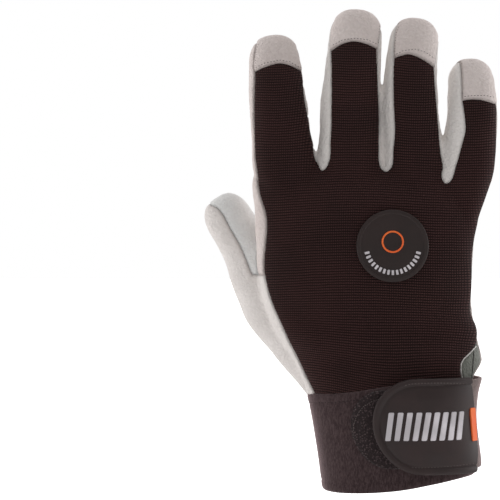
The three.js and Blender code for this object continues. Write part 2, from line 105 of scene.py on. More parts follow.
def makeStudio():
    for name, (power, place) in view["lamps"].items():
        softLamp(name, power, place)
    world = bpy.data.worlds.new("paleRoom")
    bpy.context.scene.world = world
    world.use_nodes = True
    tree = world.node_tree
    glow = tree.nodes["Background"]
    glow.inputs["Color"].default_value = (1, 1, 1, 1)
    # the white room is brighter behind the glove than in front of it
    facing = tree.nodes.new("ShaderNodeSeparateXYZ")
    tree.links.new(tree.nodes.new("ShaderNodeTexCoord").outputs["Generated"], facing.inputs[0])
    level = tree.nodes.new("ShaderNodeMapRange")
    for k, value in enumerate((-1.0, 1.0, view["worldFront"], view["worldBack"])):
        level.inputs[k + 1].default_value = value
    tree.links.new(facing.outputs["Y"], level.inputs[0])
    tree.links.new(level.outputs[0], glow.inputs["Strength"])
    seen = tree.nodes.new("ShaderNodeBackground")
    seen.inputs["Color"].default_value = (1, 1, 1, 1)
    seen.inputs["Strength"].default_value = view["backdrop"]
    mix = tree.nodes.new("ShaderNodeMixShader")
    tree.links.new(tree.nodes.new("ShaderNodeLightPath").outputs["Is Camera Ray"], mix.inputs[0])
    tree.links.new(glow.outputs[0], mix.inputs[1])
    tree.links.new(seen.outputs[0], mix.inputs[2])
    tree.links.new(mix.outputs[0], tree.nodes["World Output"].inputs["Surface"])
    bpy.context.scene.view_settings.view_transform = "Standard"
    bpy.ops.object.select_all(action="DESELECT")
    bpy.ops.mesh.primitive_plane_add(size=view["floorWide"], location=(0, 0, -view["floorDown"]))
    floor = bpy.context.object
    floor.name = "paleFloor"
    paint = bpy.data.materials.new("paleFloor")
    paint.use_nodes = True
    tree = paint.node_tree
    shader = tree.nodes["Principled BSDF"]
    shader.inputs["Base Color"].default_value = (0.93, 0.93, 0.93, 1)
    shader.inputs["Roughness"].default_value = 0.9
    shader.inputs["Emission Color"].default_value = (1, 1, 1, 1)
    glow = tree.nodes.new("ShaderNodeMapRange")
    tree.links.new(tree.nodes.new("ShaderNodeLightPath").outputs["Is Camera Ray"], glow.inputs[0])
    glow.inputs[3].default_value = view["floorGlow"]
    glow.inputs[4].default_value = view["floorSeenGlow"]
    tree.links.new(glow.outputs[0], shader.inputs["Emission Strength"])
    floor.data.materials.append(paint)


makeCamera()
makeStudio()


# tables and the smooth reading between their rows

def table(names, *rows):
    return dict(zip(names.split(), np.array(rows, float).T))


def readTable(rows, key, column, at):
    x, y = rows[key], rows[column]
    last = len(x) - 1
    before = np.maximum(np.arange(last + 1) - 1, 0)
    after = np.minimum(np.arange(last + 1) + 1, last)
    slope = (y[after] - y[before]) / (x[after] - x[before])
    at = np.asarray(at, float)
    i = np.clip(np.searchsorted(x, at, "right") - 1, 0, last - 1)
    span = x[i + 1] - x[i]
    s = np.clip((at - x[i]) / span, 0, 1)
    bend = slope[i] * s * (1 - s) ** 2 - slope[i + 1] * s * s * (1 - s)
    return y[i] + (y[i + 1] - y[i]) * s * s * (3 - 2 * s) + span * bend


def smoothStep(low, high, at):
    s = np.clip((at - low) / (high - low), 0, 1)
    return s * s * (3 - 2 * s)


# the hand form, in millimetres, in the same shares as the solids

hand = {
    "palmHeight": 160, "palmWidth": 119, "palmDepth": 50, "fingerDepth": 23, "fingerBend": 9,
    "palmSquareness": 2.5, "digitSquareness": 2.35, "tipSquareness": 2.5, "tipRound": 0.95, "frameTo": 0.97,
    "voxel": 0.95,
    "palmRows": table(
        "up left right deep front",
        (-0.1, 0.318, 0.308, 0.52, 0), (0.0, 0.32, 0.306, 0.515, 0), (0.17, 0.35, 0.302, 0.5, 0),
        (0.3, 0.385, 0.312, 0.48, 0), (0.4, 0.44, 0.342, 0.46, 0.02), (0.5, 0.525, 0.312, 0.44, 0.03),
        (0.62, 0.58, 0.297, 0.41, 0.03), (0.78, 0.602, 0.31, 0.37, 0.01), (0.88, 0.608, 0.33, 0.335, 0),
        (0.95, 0.62, 0.31, 0.28, 0.01), (0.985, 0.61, 0.26, 0.2, 0.02), (1.005, 0.59, 0.2, 0.1, 0.02)),
    "hollow": {"depth": 0.1, "up": 0.66, "height": 0.16, "across": -0.1, "width": 0.16},
    "web": {"crotch": 9, "thumbSpot": (-66, 12, 112), "thumbReach": 16, "rounds": 26},
    "cinch": {"deep": 2.8, "low": 12, "full": 42, "fullTop": 57, "top": 66, "inner": 10, "outer": 36},
}
fingerRows = table(
    "along wide deep bend",
    (-0.5, 0.84, 0.96, 0.0), (-0.2, 1.0, 1.08, 0.04), (0.02, 1.12, 1.08, 0.08), (0.24, 1.05, 1.04, 0.16),
    (0.42, 1.02, 0.97, 0.3), (0.6, 0.98, 0.98, 0.52), (0.8, 0.92, 0.88, 0.82), (1.0, 0.84, 0.74, 1.0))
fingers = [
    {"name": "index", "length": 68, "root": -0.48, "middle": -0.512, "tip": -0.532, "breadth": 0.236,
     "edge": table("across down", (240, 78), (255, 71), (267, 66), (279, 63), (290, 65), (301, 70), (312, 77))},
    {"name": "middle", "length": 81, "root": -0.214, "middle": -0.204, "tip": -0.17, "breadth": 0.242,
     "edge": table("across down", (318, 60), (330, 51), (341, 44), (352, 41), (365, 43), (378, 49), (390, 58))},
    {"name": "ring", "length": 76.5, "root": 0.062, "middle": 0.046, "tip": 0.075, "breadth": 0.228,
     "edge": table("across down", (382, 64), (394, 58), (402, 55), (410, 54), (423, 59), (435, 67), (446, 76))},
    {"name": "little", "length": 56, "root": 0.276, "middle": 0.306, "tip": 0.3, "breadth": 0.207,
     "edge": table("across down", (450, 104), (462.2, 100.3), (478.8, 99.5), (497.9, 104.5), (508, 109))},
]
thumbForm = {
    "across": -0.26, "up": 0.365, "reach": 62, "rise": 88, "forward": 22, "width": 25, "depth": 23,
    "rows": table(
        "along across rise out wide deep",
        (0.0, 0.0, 0.0, 0.2, 1.5, 1.1), (0.22, 0.28, 0.24, 0.45, 1.52, 1.2),
        (0.4, 0.47, 0.4, 0.65, 1.52, 1.2), (0.55, 0.61, 0.53, 0.78, 1.24, 1.12),
        (0.72, 0.73, 0.7, 0.9, 1.02, 1.03), (0.88, 0.87, 0.87, 0.98, 0.97, 0.95),
        (1.0, 1.0, 1.0, 1.0, 0.92, 0.84)),
}


def oval(turns, squareness):
    c, s = np.cos(turns), np.sin(turns)
    power = 2 / squareness
    return np.sign(c) * np.abs(c) ** power, np.sign(s) * np.abs(s) ** power


def palmPoints(up, turns, inset=0.0):
    rows = hand["palmRows"]
    width, depth = hand["palmWidth"], hand["palmDepth"]
    left, right = width * readTable(rows, "up", "left", up), width * readTable(rows, "up", "right", up)
    x, y = oval(turns, hand["palmSquareness"])
    across = (right - left) / 2 + x * ((left + right) / 2 - inset)
    dent = hand["hollow"]
    near = ((up - dent["up"]) / dent["height"]) ** 2
    near = near + ((across / width - dent["across"]) / dent["width"]) ** 2
    hollow = np.where(y > 0, depth * dent["depth"] * np.exp(-near), 0)
    out = depth * readTable(rows, "up", "front", up) - hollow * np.abs(y)
    out = out + y * (depth * readTable(rows, "up", "deep", up) - inset)
    return np.stack([across, out, np.broadcast_to(up * hand["palmHeight"], across.shape)], axis=-1)


def fingerDigit(finger):
    half = finger["breadth"] * hand["palmWidth"] / 2
    line = table("along across", (-0.5, finger["root"] - (finger["middle"] - finger["root"]) * 1.8),
                 (0, finger["root"]), (0.5, finger["middle"]), (1, finger["tip"]))

    def middle(t):
        t = np.asarray(t, float)
        return np.stack([hand["palmWidth"] * readTable(line, "along", "across", t),
                         hand["fingerBend"] * readTable(fingerRows, "along", "bend", t),
                         hand["palmHeight"] + t * finger["length"]], axis=-1)

    return {"name": finger["name"], "length": finger["length"], "half": half, "start": -0.5, "middle": middle,
            "wide": lambda t: half * readTable(fingerRows, "along", "wide", t),
            "deep": lambda t: hand["fingerDepth"] / 2 * readTable(fingerRows, "along", "deep", t)}


def thumbDigit():
    f = thumbForm
    rows = f["rows"]

    def middle(t):
        t = np.asarray(t, float)
        return np.stack([f["across"] * hand["palmWidth"] - f["reach"] * readTable(rows, "along", "across", t),
                         f["forward"] * readTable(rows, "along", "out", t),
                         f["up"] * hand["palmHeight"] + f["rise"] * readTable(rows, "along", "rise", t)], axis=-1)

    return {"name": "thumb", "length": math.hypot(f["reach"], f["rise"]), "half": f["width"] / 2, "start": 0.0,
            "middle": middle, "wide": lambda t: f["width"] / 2 * readTable(rows, "along", "wide", t),
            "deep": lambda t: f["depth"] / 2 * readTable(rows, "along", "deep", t)}


def digitFrame(digit, t):
    step = 0.02
    along = digit["middle"](t + step) - digit["middle"](t - step)
    along = along / np.linalg.norm(along, axis=-1, keepdims=True)
    across = np.stack([along[..., 2], 0 * along[..., 0], -along[..., 0]], axis=-1)
    across = across / np.linalg.norm(across, axis=-1, keepdims=True)
    return across, np.cross(along, across)


def digitRings(digit):
    count, sides = 60, 48
    roundFrom = 1 - digit["half"] * hand["tipRound"] / digit["length"]
    straight = np.linspace(digit["start"], roundFrom, count, endpoint=False)
    s = np.sin(np.linspace(0, math.pi / 2, 16))[:-1]
    stations = np.concatenate([straight, roundFrom + s * (1 - roundFrom)])
    power = hand["tipSquareness"]
    size = np.concatenate([np.ones(count), (1 - s ** power) ** (1 / power)])
    turns = np.linspace(0, 2 * math.pi, sides, endpoint=False)
    x, y = oval(turns, hand["digitSquareness"])
    rings = []
    for t, scale in zip(stations, size):
        across, through = digitFrame(digit, min(t, hand["frameTo"]))
        wide, deep = digit["wide"](t) * scale, digit["deep"](t) * scale
        rings.append(digit["middle"](t) + np.outer(x * wide, across) + np.outer(y * deep, through))
    return np.array(rings)


def ringMesh(name, rings):
    count, sides = rings.shape[:2]
    faces = []
    for i in range(count - 1):
        for k in range(sides):
            a, b = i * sides + k, i * sides + (k + 1) % sides
            faces.append((a, b, b + sides, a + sides))
    faces.append(tuple(range(sides))[::-1])
    faces.append(tuple(range((count - 1) * sides, count * sides)))
    mesh = bpy.data.meshes.new(name)
    mesh.from_pydata((rings.reshape(-1, 3) * mm).tolist(), [], faces)
    return linked(name, mesh)


digits = [fingerDigit(finger) for finger in fingers]
thumb = thumbDigit()


def handSurface():
    turns = np.linspace(0, 2 * math.pi, 96, endpoint=False)
    levels = np.linspace(-0.09, 1.005, 110)
    lofts = [ringMesh("palmLoft", np.array([palmPoints(up, turns) for up in levels]))]
    lofts += [ringMesh(d["name"] + "Loft", digitRings(d)) for d in digits + [thumb]]
    joinPieces("handForm", lofts)
    form = lofts[0]
    applyModifier(form, "REMESH", mode="VOXEL", voxel_size=hand["voxel"] * mm)
    points = np.empty(len(form.data.vertices) * 3)
    form.data.vertices.foreach_get("co", points)
    points = points.reshape(-1, 3) / mm
    quads = np.array([tuple(p.vertices) for p in form.data.polygons])
    bpy.data.objects.remove(form)
    return points, quads


def relax(points, edges, rounds, weight):
    # moves each point towards the mean of its neighbours
    a, b = edges[:, 0], edges[:, 1]
    count = np.bincount(a, minlength=len(points)) + np.bincount(b, minlength=len(points))
    weight = np.asarray(weight, float)
    weight = weight[:, None] if weight.ndim else weight
    for _ in range(rounds):
        total = np.zeros_like(points)
        for k in range(3):
            total[:, k] = np.bincount(a, points[b, k], len(points)) + np.bincount(b, points[a, k], len(points))
        points = points + weight * (total / np.maximum(count, 1)[:, None] - points)
    return points


def sidesOf(faces):
    # each face's sides, as pairs of points in their order round the face
    return np.concatenate([np.stack([faces[:, k], np.roll(faces, -1, 1)[:, k]], 1) for k in range(faces.shape[1])])


points, quads = handSurface()
edges = np.unique(np.sort(sidesOf(quads), axis=1), axis=0)
points = relax(points, edges, 3, 0.5)
web = hand["web"]
near = np.linalg.norm(points - np.array(web["thumbSpot"]), axis=1)
near = np.exp(-(near / web["thumbReach"]) ** 2)
for one, other in zip(digits[:-1], digits[1:]):
    gap = points - (one["middle"](0.02) + other["middle"](0.02)) / 2
    near = np.maximum(near, np.exp(-(gap[:, 0] / web["crotch"]) ** 2 - (gap[:, 2] / web["crotch"]) ** 2))
points = relax(points, edges, web["rounds"], 0.5 * near)


def cinched(p):
    # the fastening draws the wrist in on the little finger's side
    c = hand["cinch"]
    x, z = p[..., 0], p[..., 2]
    level = c["deep"] * smoothStep(c["low"], c["full"], z) * (1 - smoothStep(c["fullTop"], c["top"], z))
    drawn = p.copy()
    drawn[..., 0] = x - level * smoothStep(c["inner"], c["outer"], x)
    return drawn


points = cinched(points)
print("hand form", len(points), "points")


# the picture's scale, and where the hem and the middles of its two views lie in it, in pixels

picture = {"perMm": 2, "hemDown": 490, "backAcross": 400, "palmAcross": 95}

# seams: each piece is where its own value is below zero; down and across are the picture's pixels

seams = {
    "soft": 1.6, "behindLittle": 0.6, "cuffTop": 50, "underCuff": 3.0, "overTip": 7.5,
    "gapInset": 0.73, "gapFoot": 0.97, "footDrop": 4,
    "tongueWidth": 6.5, "tongueFront": 9, "tongueBack": 9, "tongueTaper": 0.14,
    "footShare": (-0.06, 0.22), "palmHalf": (0.5, 4.5), "tongueLong": 20,
    "tipBeside": 1.3, "tipFrom": 0.84, "tipTo": 0.99, "capAt": 0.75, "capBeside": 1.35,
    "thumbMargin": 1.2, "ballFront": 3, "ballSlope": 0.8, "tubeFrom": 0.5, "turnShare": (-0.25, 0.35),
    "webFrom": 5, "webTo": 19,
    "thumbFront": table("up across", (0.1, -0.205), (0.42, -0.22), (0.55, -0.235), (0.615, -0.262),
                        (0.65, -0.32), (0.7, -0.41), (0.78, -0.5)),
    "webBack": 0.672, "webFront": 0.8,
    "ventTop": 320,
    "vent": table("down across", (318, 500), (332, 484), (339, 479.5), (346, 476), (353, 470), (358, 464.5),
                  (362, 461.5), (368, 460.5), (378, 462.5), (420, 466)),
    "cuffEdge": [1.04, 0.98, 0.88, 0.8, 0.72, 0.8, 0.96, 1.0, 1.06, 1.1, 1.1, 1.08],
    "hemEdge": [0.18, 0.13, 0.06, 0.02, 0.0, 0.01, 0.02, 0.03, 0.05, 0.08, 0.13, 0.18],
    "knitLeft": table("down across", (20, 262), (38, 257.4), (66, 253.6), (71, 254.3), (124, 253.4), (157, 254.8),
                      (180, 257.2), (196, 260), (214, 265.5), (228, 266.5), (257, 264), (276, 264.5), (301, 271),
                      (323, 280.5), (339, 287.5), (392, 313), (440, 335)),
    "gapFront": table("along front", (-0.24, 0.95), (0.0, 0.97), (0.1, 0.9), (0.25, 0.82), (0.5, 0.8), (0.8, 0.78),
                      (0.93, 0.45), (1.02, -0.9)),
    "thumbSeam": table("down across", (190, 190), (200, 199), (204, 209), (209, 218.5), (230, 231), (245, 239.5),
                       (262, 247), (274, 252), (290, 262)),
    "innerRows": table("along back front", (0.5, -0.3, 0.95), (0.62, -0.25, 0.8), (0.8, -0.27, 0.6),
                       (0.92, -0.42, 0.4), (1.0, -0.75, 0.1)),
}
# the knit's right edge on one finger and its left edge on the next
gapEdges = [
    (table("down across", (25, 290), (40, 294), (50, 297), (71, 302), (90, 304.2), (107, 306.3), (124, 309.7),
           (141, 312.5), (157, 315.6), (165, 318), (169, 320), (171, 323)),
     table("down across", (5, 352), (12, 340), (25, 333), (33, 331), (50, 330), (75, 331.2), (125, 330.9),
           (141, 330), (157, 329.4), (165, 327), (169, 324.4), (171, 321))),
    (table("down across", (6, 374), (14, 379), (21.6, 380.6), (33, 379.8), (47, 378), (83, 378.5), (116, 380.1),
           (157, 379.4), (165, 380.6), (169, 382.6), (172, 387)),
     table("down across", (15, 408), (19, 403), (25, 398), (33, 395), (56, 393.6), (83, 392.9), (133, 394),
           (150, 392.6), (165, 391.6), (169, 389.2), (172, 385))),
    (table("down across", (22, 436), (40, 437.5), (67, 434.9), (83, 435.7), (116, 437.8), (150, 440.7), (166, 443),
           (175, 442), (181, 443.4), (184.5, 447.5)),
     table("down across", (54, 464), (60, 459.9), (66, 460.9), (83, 461.9), (100, 462.2), (108, 463.5),
           (129, 465.6), (141, 463), (157, 458.6), (166, 455.6), (175, 453.2), (181, 450.6), (184.5, 446))),
]


def leftOf(rows, p):
    # how far a point shows left of a line in the picture, in millimetres
    down, across = photoPlace(p)
    return (readTable(rows, "down", "across", down) - across) / picture["perMm"]


def webHeight(p):
    # where the palm ends between thumb and index finger
    low, high = seams["webBack"], seams["webFront"]
    return hand["palmHeight"] * (low + (high - low) * smoothStep(seams["webFrom"], seams["webTo"], p[:, 1]))


def photoPlace(p):
    # where a point shows in the picture, down and across in pixels
    far = view["distance"] / mm
    near = far / (far + p[:, 1])
    across, up = view["aimAcross"] / mm, view["height"] / mm
    down = picture["hemDown"] - picture["perMm"] * (up + (p[:, 2] - up) * near)
    return down, picture["backAcross"] + picture["perMm"] * (across + (p[:, 0] - across) * near)


def both(one, other, soft):
    # the larger value, with the corner between the two rounded
    mix = np.clip(0.5 + 0.5 * (one - other) / soft, 0, 1)
    return other + (one - other) * mix + soft * mix * (1 - mix)


def either(one, other, soft):
    return -both(-one, -other, soft)


def aroundWrist(p, shares):
    turn = (np.arctan2(p[:, 1], p[:, 0]) / (2 * math.pi)) % 1 * len(shares)
    i = np.floor(turn).astype(int)
    s = turn - i
    level = np.array(shares)
    a, b, c, d = (level[(i + k) % len(shares)] for k in (-1, 0, 1, 2))
    curve = b + (c - a) / 2 * s + (a - 2.5 * b + 2 * c - d / 2) * s * s + (1.5 * (b - c) + (d - a) / 2) * s ** 3
    return seams["cuffTop"] * curve


def cuffValue(p):
    return p[:, 2] - aroundWrist(p, seams["cuffEdge"])


def hemValue(p):
    return p[:, 2] - aroundWrist(p, seams["hemEdge"])


def backSeamValue(p):
    # below zero on the back of the hand and fingers
    along = (p[:, 2] - hand["palmHeight"]) / fingers[1]["length"]
    bend = hand["fingerBend"] * readTable(fingerRows, "along", "bend", along)
    front = p[:, 1] - bend + seams["behindLittle"]
    for digit in digits:
        t = (p[:, 2] - hand["palmHeight"]) / digit["length"]
        beside = np.abs(p[:, 0] - digit["middle"](np.clip(t, 0, 1))[:, 0]) < digit["half"] * seams["tipBeside"]
        front = front - seams["overTip"] * smoothStep(seams["tipFrom"], seams["tipTo"], t) * beside
    return both(front, leftOf(seams["knitLeft"], p), seams["soft"])


def gussetValue(p, i):
    one, other = digits[i], digits[i + 1]
    along = [(p[:, 2] - hand["palmHeight"]) / d["length"] for d in (one, other)]
    middles = [d["middle"](np.clip(t, -0.5, 1)) for d, t in zip((one, other), along)]
    isLeft = p[:, 0] < (middles[0][:, 0] + middles[1][:, 0]) / 2
    t = np.where(isLeft, along[0], along[1])
    centre = np.where(isLeft, middles[0][:, 1], middles[1][:, 1])
    leftEdge, rightEdge = gapEdges[i]
    value = both(leftOf(leftEdge, p), -leftOf(rightEdge, p), seams["soft"])
    # on the palm side the strip comes round both fingers by the same share
    half = np.where(isLeft, one["half"], other["half"])
    half = half * readTable(fingerRows, "along", "wide", np.clip(t, -0.5, 1))
    share = seams["gapInset"] + (seams["gapFoot"] - seams["gapInset"]) * (1 - smoothStep(*seams["footShare"], t))
    inside = np.where(isLeft, middles[0][:, 0] - p[:, 0], p[:, 0] - middles[1][:, 0]) + share * half
    value = value + (inside - value) * smoothStep(*seams["palmHalf"], p[:, 1] - centre)
    value = np.maximum(value, photoPlace(p)[0] - leftEdge["down"][-1])
    value = np.maximum(value, np.maximum(middles[0][:, 0] - p[:, 0], p[:, 0] - middles[1][:, 0]))
    front = centre + hand["fingerDepth"] / 2 * readTable(seams["gapFront"], "along", "front", t)
    value = both(value, p[:, 1] - front, seams["soft"])
    foot = (one["middle"](0.0) + other["middle"](0.0)) / 2
    value = np.maximum(value, np.where(p[:, 1] > foot[1], foot[2] - seams["footDrop"] - p[:, 2], -1))
    radius = seams["tongueWidth"] / 2
    z = p[:, 2] - (foot[2] - seams["tongueFront"] + radius)
    away = np.where(z < 0, np.hypot(p[:, 0] - foot[0], z), np.abs(p[:, 0] - foot[0]))
    away = away - radius + np.clip(z, 0, seams["tongueLong"]) * seams["tongueTaper"]
    tongue = np.maximum(np.maximum(away, foot[1] - p[:, 1]), p[:, 2] - foot[2] - seams["tongueBack"])
    return either(value, tongue, 2 * seams["soft"])


def thumbPlace(p):
    t = np.linspace(0.42, 1.0, 59)
    line = thumb["middle"](t)
    best = np.argmin(((p[:, None, :] - line[None]) ** 2).sum(axis=2), axis=1)
    across, through = digitFrame(thumb, np.minimum(t, hand["frameTo"]))
    away = p - line[best]
    u, v = (away * across[best]).sum(axis=1), (away * through[best]).sum(axis=1)
    return t[best], u, v


def thumbValue(p):
    width, height = hand["palmWidth"], hand["palmHeight"]
    up = p[:, 2] / height
    front = width * readTable(seams["thumbFront"], "up", "across", up)
    ball = np.where(p[:, 1] > seams["ballFront"], p[:, 0] - front, -leftOf(seams["knitLeft"], p))
    ball = np.maximum(ball * seams["ballSlope"], p[:, 2] - webHeight(p))
    t, u, v = thumbPlace(p)
    wide, deep = thumb["wide"](t) + seams["thumbMargin"], thumb["deep"](t) + seams["thumbMargin"]
    power = hand["digitSquareness"]
    tube = ((np.abs(u) / wide) ** power + (np.abs(v) / deep) ** power) ** (1 / power) - 1
    tube = np.where(t < seams["tubeFrom"], 5.0, tube * wide)
    return np.minimum(ball, tube)


def thumbInnerValue(p):
    t, u, v = thumbPlace(p)
    rows = seams["innerRows"]
    back, front = readTable(rows, "along", "back", t), readTable(rows, "along", "front", t)
    side = np.clip((v / thumb["deep"](t) + 1) / 2, 0, 1)
    seen = leftOf(seams["thumbSeam"], p)
    turned = smoothStep(*seams["turnShare"], v / thumb["deep"](t))
    hidden = (back + (front - back) * side) * thumb["half"] - u
    return np.maximum(seen + (hidden - seen) * turned, webHeight(p) - p[:, 2])


def capValue(p, i):
    finger, digit = fingers[i], digits[i]
    down, across = photoPlace(p)
    edge = (down - readTable(finger["edge"], "across", "down", across)) / picture["perMm"]
    beside = np.abs(p[:, 0] - digit["middle"](seams["capAt"])[0]) - digit["half"] * seams["capBeside"]
    return np.maximum(edge, beside)


def ventValue(p):
    return np.maximum(leftOf(seams["vent"], p), (seams["ventTop"] - photoPlace(p)[0]) / picture["perMm"])


def cutSurface(verts, tris, valueOf):
    # the triangles below zero and the ones above it, cut along the zero line
    value = valueOf(verts[:, :3])
    value = np.where(value == 0, 1e-6, value)
    below = value < 0
    count = below[tris].sum(axis=1)
    mixed = tris[(count == 1) | (count == 2)]
    odd = np.where(below[mixed].sum(axis=1)[:, None] == 1, below[mixed], ~below[mixed])
    first = np.argmax(odd, axis=1)
    turned = np.stack([mixed[np.arange(len(mixed)), (first + k) % 3] for k in range(3)], axis=1)
    pairs = np.concatenate([turned[:, [0, 1]], turned[:, [0, 2]]])
    keys, inverse = np.unique(np.sort(pairs, axis=1), axis=0, return_inverse=True)
    inverse = inverse.reshape(-1)
    share = value[keys[:, 0]] / (value[keys[:, 0]] - value[keys[:, 1]])
    fresh = verts[keys[:, 0]] + share[:, None] * (verts[keys[:, 1]] - verts[keys[:, 0]])
    ab, ac = inverse[:len(turned)] + len(verts), inverse[len(turned):] + len(verts)
    a, b, c = turned.T
    corner = np.stack([a, ab, ac], 1)
    rest = np.concatenate([np.stack([ab, b, c], 1), np.stack([ab, c, ac], 1)])
    cornerBelow = below[a]
    restBelow = np.concatenate([~cornerBelow, ~cornerBelow])
    allVerts = np.concatenate([verts, fresh])
    lower = np.concatenate([tris[count == 3], corner[cornerBelow], rest[restBelow]])
    upper = np.concatenate([tris[count == 0], corner[~cornerBelow], rest[~restBelow]])
    return trimmed(allVerts, lower), trimmed(allVerts, upper)


def trimmed(verts, tris):
    used, index = np.unique(tris, return_inverse=True)
    return verts[used], index.reshape(-1, 3)


def splitPanels(verts, tris):
    panels = {}
    (_, surface) = cutSurface(verts, tris, hemValue)
    (panels["cuff"], _) = cutSurface(*surface, cuffValue)
    (_, rest) = cutSurface(*surface, lambda p: cuffValue(p) + seams["underCuff"])
    (thumbAll, rest) = cutSurface(*rest, thumbValue)
    (panels["thumb_inner"], panels["thumb"]) = cutSurface(*thumbAll, thumbInnerValue)
    for i in range(3):
        name = "gusset_" + fingers[i]["name"] + "_" + fingers[i + 1]["name"]
        (panels[name], rest) = cutSurface(*rest, lambda p: gussetValue(p, i))
    (backs, panels["palm_panel"]) = cutSurface(*rest, backSeamValue)
    for i, finger in enumerate(fingers):
        (panels["cap_" + finger["name"]], backs) = cutSurface(*backs, lambda p: capValue(p, i))
    (panels["side_gusset"], panels["back_panel"]) = cutSurface(*backs, ventValue)
    return panels


tris = np.concatenate([quads[:, [0, 1, 2]], quads[:, [0, 2, 3]]])
panels = splitPanels(points, tris)
print("panels", {name: len(panel[1]) for name, panel in panels.items()})


# looks that more than one material uses

def newGroup(name, inputs, outputs):
    group = bpy.data.node_groups.new(name, "ShaderNodeTree")
    for kind, label, value in inputs:
        socket = group.interface.new_socket(name=label, in_out="INPUT", socket_type=kind)
        if value is not None:
            socket.default_value = value
    for kind, label in outputs:
        group.interface.new_socket(name=label, in_out="OUTPUT", socket_type=kind)
    return group, group.nodes.new("NodeGroupInput"), group.nodes.new("NodeGroupOutput")


def addNode(tree, kind, settings=None, **values):
    # an input is given by its name, or by its number as i0, i1 and so on
    node = tree.nodes.new(kind)
    for key, value in (settings or {}).items():
        setattr(node, key, value)
    for key, value in values.items():
        isNumber = key[0] == "i" and key[1:].isdigit()
        socket = node.inputs[int(key[1:]) if isNumber else key.replace("_", " ")]
        if isinstance(value, bpy.types.NodeSocket):
            tree.links.new(value, socket)
        else:
            socket.default_value = value
    return node


def noiseNode(tree, place, scale, detail, roughness=0.5):
    return addNode(tree, "ShaderNodeTexNoise", Vector=place, Scale=scale, Detail=detail, Roughness=roughness)


def mathNode(tree, operation, a, b=0.0):
    return addNode(tree, "ShaderNodeMath", {"operation": operation}, i0=a, i1=b).outputs[0]


def mixColour(tree, share, one, other):
    return addNode(tree, "ShaderNodeMix", {"data_type": "RGBA"}, i0=share, i6=one, i7=other).outputs[2]


def mapRange(tree, value, low, high, toLow=0.0, toHigh=1.0):
    node = addNode(tree, "ShaderNodeMapRange", {"interpolation_type": "SMOOTHSTEP"}, i0=value, i1=low, i2=high,
                   i3=toLow, i4=toHigh)
    return node.outputs[0]


def colour(red, green, blue):
    # a colour as seen on screen, 0 to 255, as the shader takes it
    return tuple((c / 255 / 12.92 if c < 10.3 else ((c / 255 + 0.055) / 1.055) ** 2.4)
                 for c in (red, green, blue)) + (1,)


def makeGrainGroup():
    # pebbled leather: fine cells, soft creases between them and slow changes of tone
    group, give, take = newGroup("leatherGrain", [
        ("NodeSocketVector", "Place", None), ("NodeSocketFloat", "Cells", 1100.0),
        ("NodeSocketFloat", "Tone", 60.0), ("NodeSocketFloat", "Creases", 0.5)],
        [("NodeSocketFloat", "Height"), ("NodeSocketFloat", "Shade"), ("NodeSocketFloat", "Shine")])
    place = give.outputs["Place"]
    warp = noiseNode(group, place, 420.0, 3.0, 0.6)
    push = addNode(group, "ShaderNodeVectorMath", {"operation": "MULTIPLY_ADD"}, i0=warp.outputs["Color"],
                   i1=(0.0011, 0.0011, 0.0011), i2=place)
    cells = addNode(group, "ShaderNodeTexVoronoi", {"feature": "SMOOTH_F1"}, Vector=push.outputs[0],
                    Scale=give.outputs["Cells"])
    fine = noiseNode(group, place, 2600.0, 2.0)
    wrinkle = addNode(group, "ShaderNodeTexNoise", {"noise_type": "RIDGED_MULTIFRACTAL"}, Vector=push.outputs[0],
                      Scale=160.0, Detail=4.0, Roughness=0.55)
    height = mathNode(group, "MULTIPLY", cells.outputs["Distance"], -0.9)
    height = mathNode(group, "ADD", height, mathNode(group, "MULTIPLY", fine.outputs["Fac"], 0.35))
    ridges = mathNode(group, "MULTIPLY", wrinkle.outputs["Fac"], give.outputs["Creases"])
    height = mathNode(group, "SUBTRACT", height, ridges)
    slow = noiseNode(group, place, give.outputs["Tone"], 5.0, 0.6)
    shade = mapRange(group, slow.outputs["Fac"], 0.3, 0.7)
    group.links.new(height, take.inputs["Height"])
    group.links.new(shade, take.inputs["Shade"])
    group.links.new(mapRange(group, cells.outputs["Distance"], 0.1, 0.7), take.inputs["Shine"])
    return group


def makeRibGroup():
    # rows of knitted loops: across and along come in millimetres
    group, give, take = newGroup("knitRibs", [
        ("NodeSocketVector", "Place", None), ("NodeSocketFloat", "Row", 1.35), ("NodeSocketFloat", "Column", 0.95),
        ("NodeSocketFloat", "Wander", 0.25)],
        [("NodeSocketFloat", "Height"), ("NodeSocketFloat", "Row line"), ("NodeSocketFloat", "Loop")])
    place = give.outputs["Place"]
    drift = noiseNode(group, place, 0.12, 2.0)
    split = addNode(group, "ShaderNodeSeparateXYZ", i0=place)
    wander = mathNode(group, "SUBTRACT", drift.outputs["Fac"], 0.5)
    wander = mathNode(group, "MULTIPLY", wander, give.outputs["Wander"])

    def wave(value, pitch):
        turn = mathNode(group, "DIVIDE", mathNode(group, "ADD", value, wander), pitch)
        turn = mathNode(group, "MULTIPLY", turn, 2 * math.pi)
        return mathNode(group, "MULTIPLY", mathNode(group, "ADD", mathNode(group, "COSINE", turn), 1.0), 0.5)

    rows = wave(split.outputs["Y"], give.outputs["Row"])
    columns = wave(split.outputs["X"], give.outputs["Column"])
    loops = mathNode(group, "ADD", mathNode(group, "MULTIPLY", columns, 0.6), 0.4)
    loops = mathNode(group, "MULTIPLY", rows, loops)
    group.links.new(loops, take.inputs["Height"])
    group.links.new(rows, take.inputs["Row line"])
    group.links.new(mathNode(group, "MULTIPLY", rows, columns), take.inputs["Loop"])
    return group


grainGroup = makeGrainGroup()
ribGroup = makeRibGroup()


def newMaterial(name, roughness, **sockets):
    material = bpy.data.materials.new(name)
    material.use_nodes = True
    tree = material.node_tree
    shader = tree.nodes["Principled BSDF"]
    shader.inputs["Roughness"].default_value = roughness
    for key, value in sockets.items():
        shader.inputs[key.replace("_", " ")].default_value = value
    return material, tree, shader


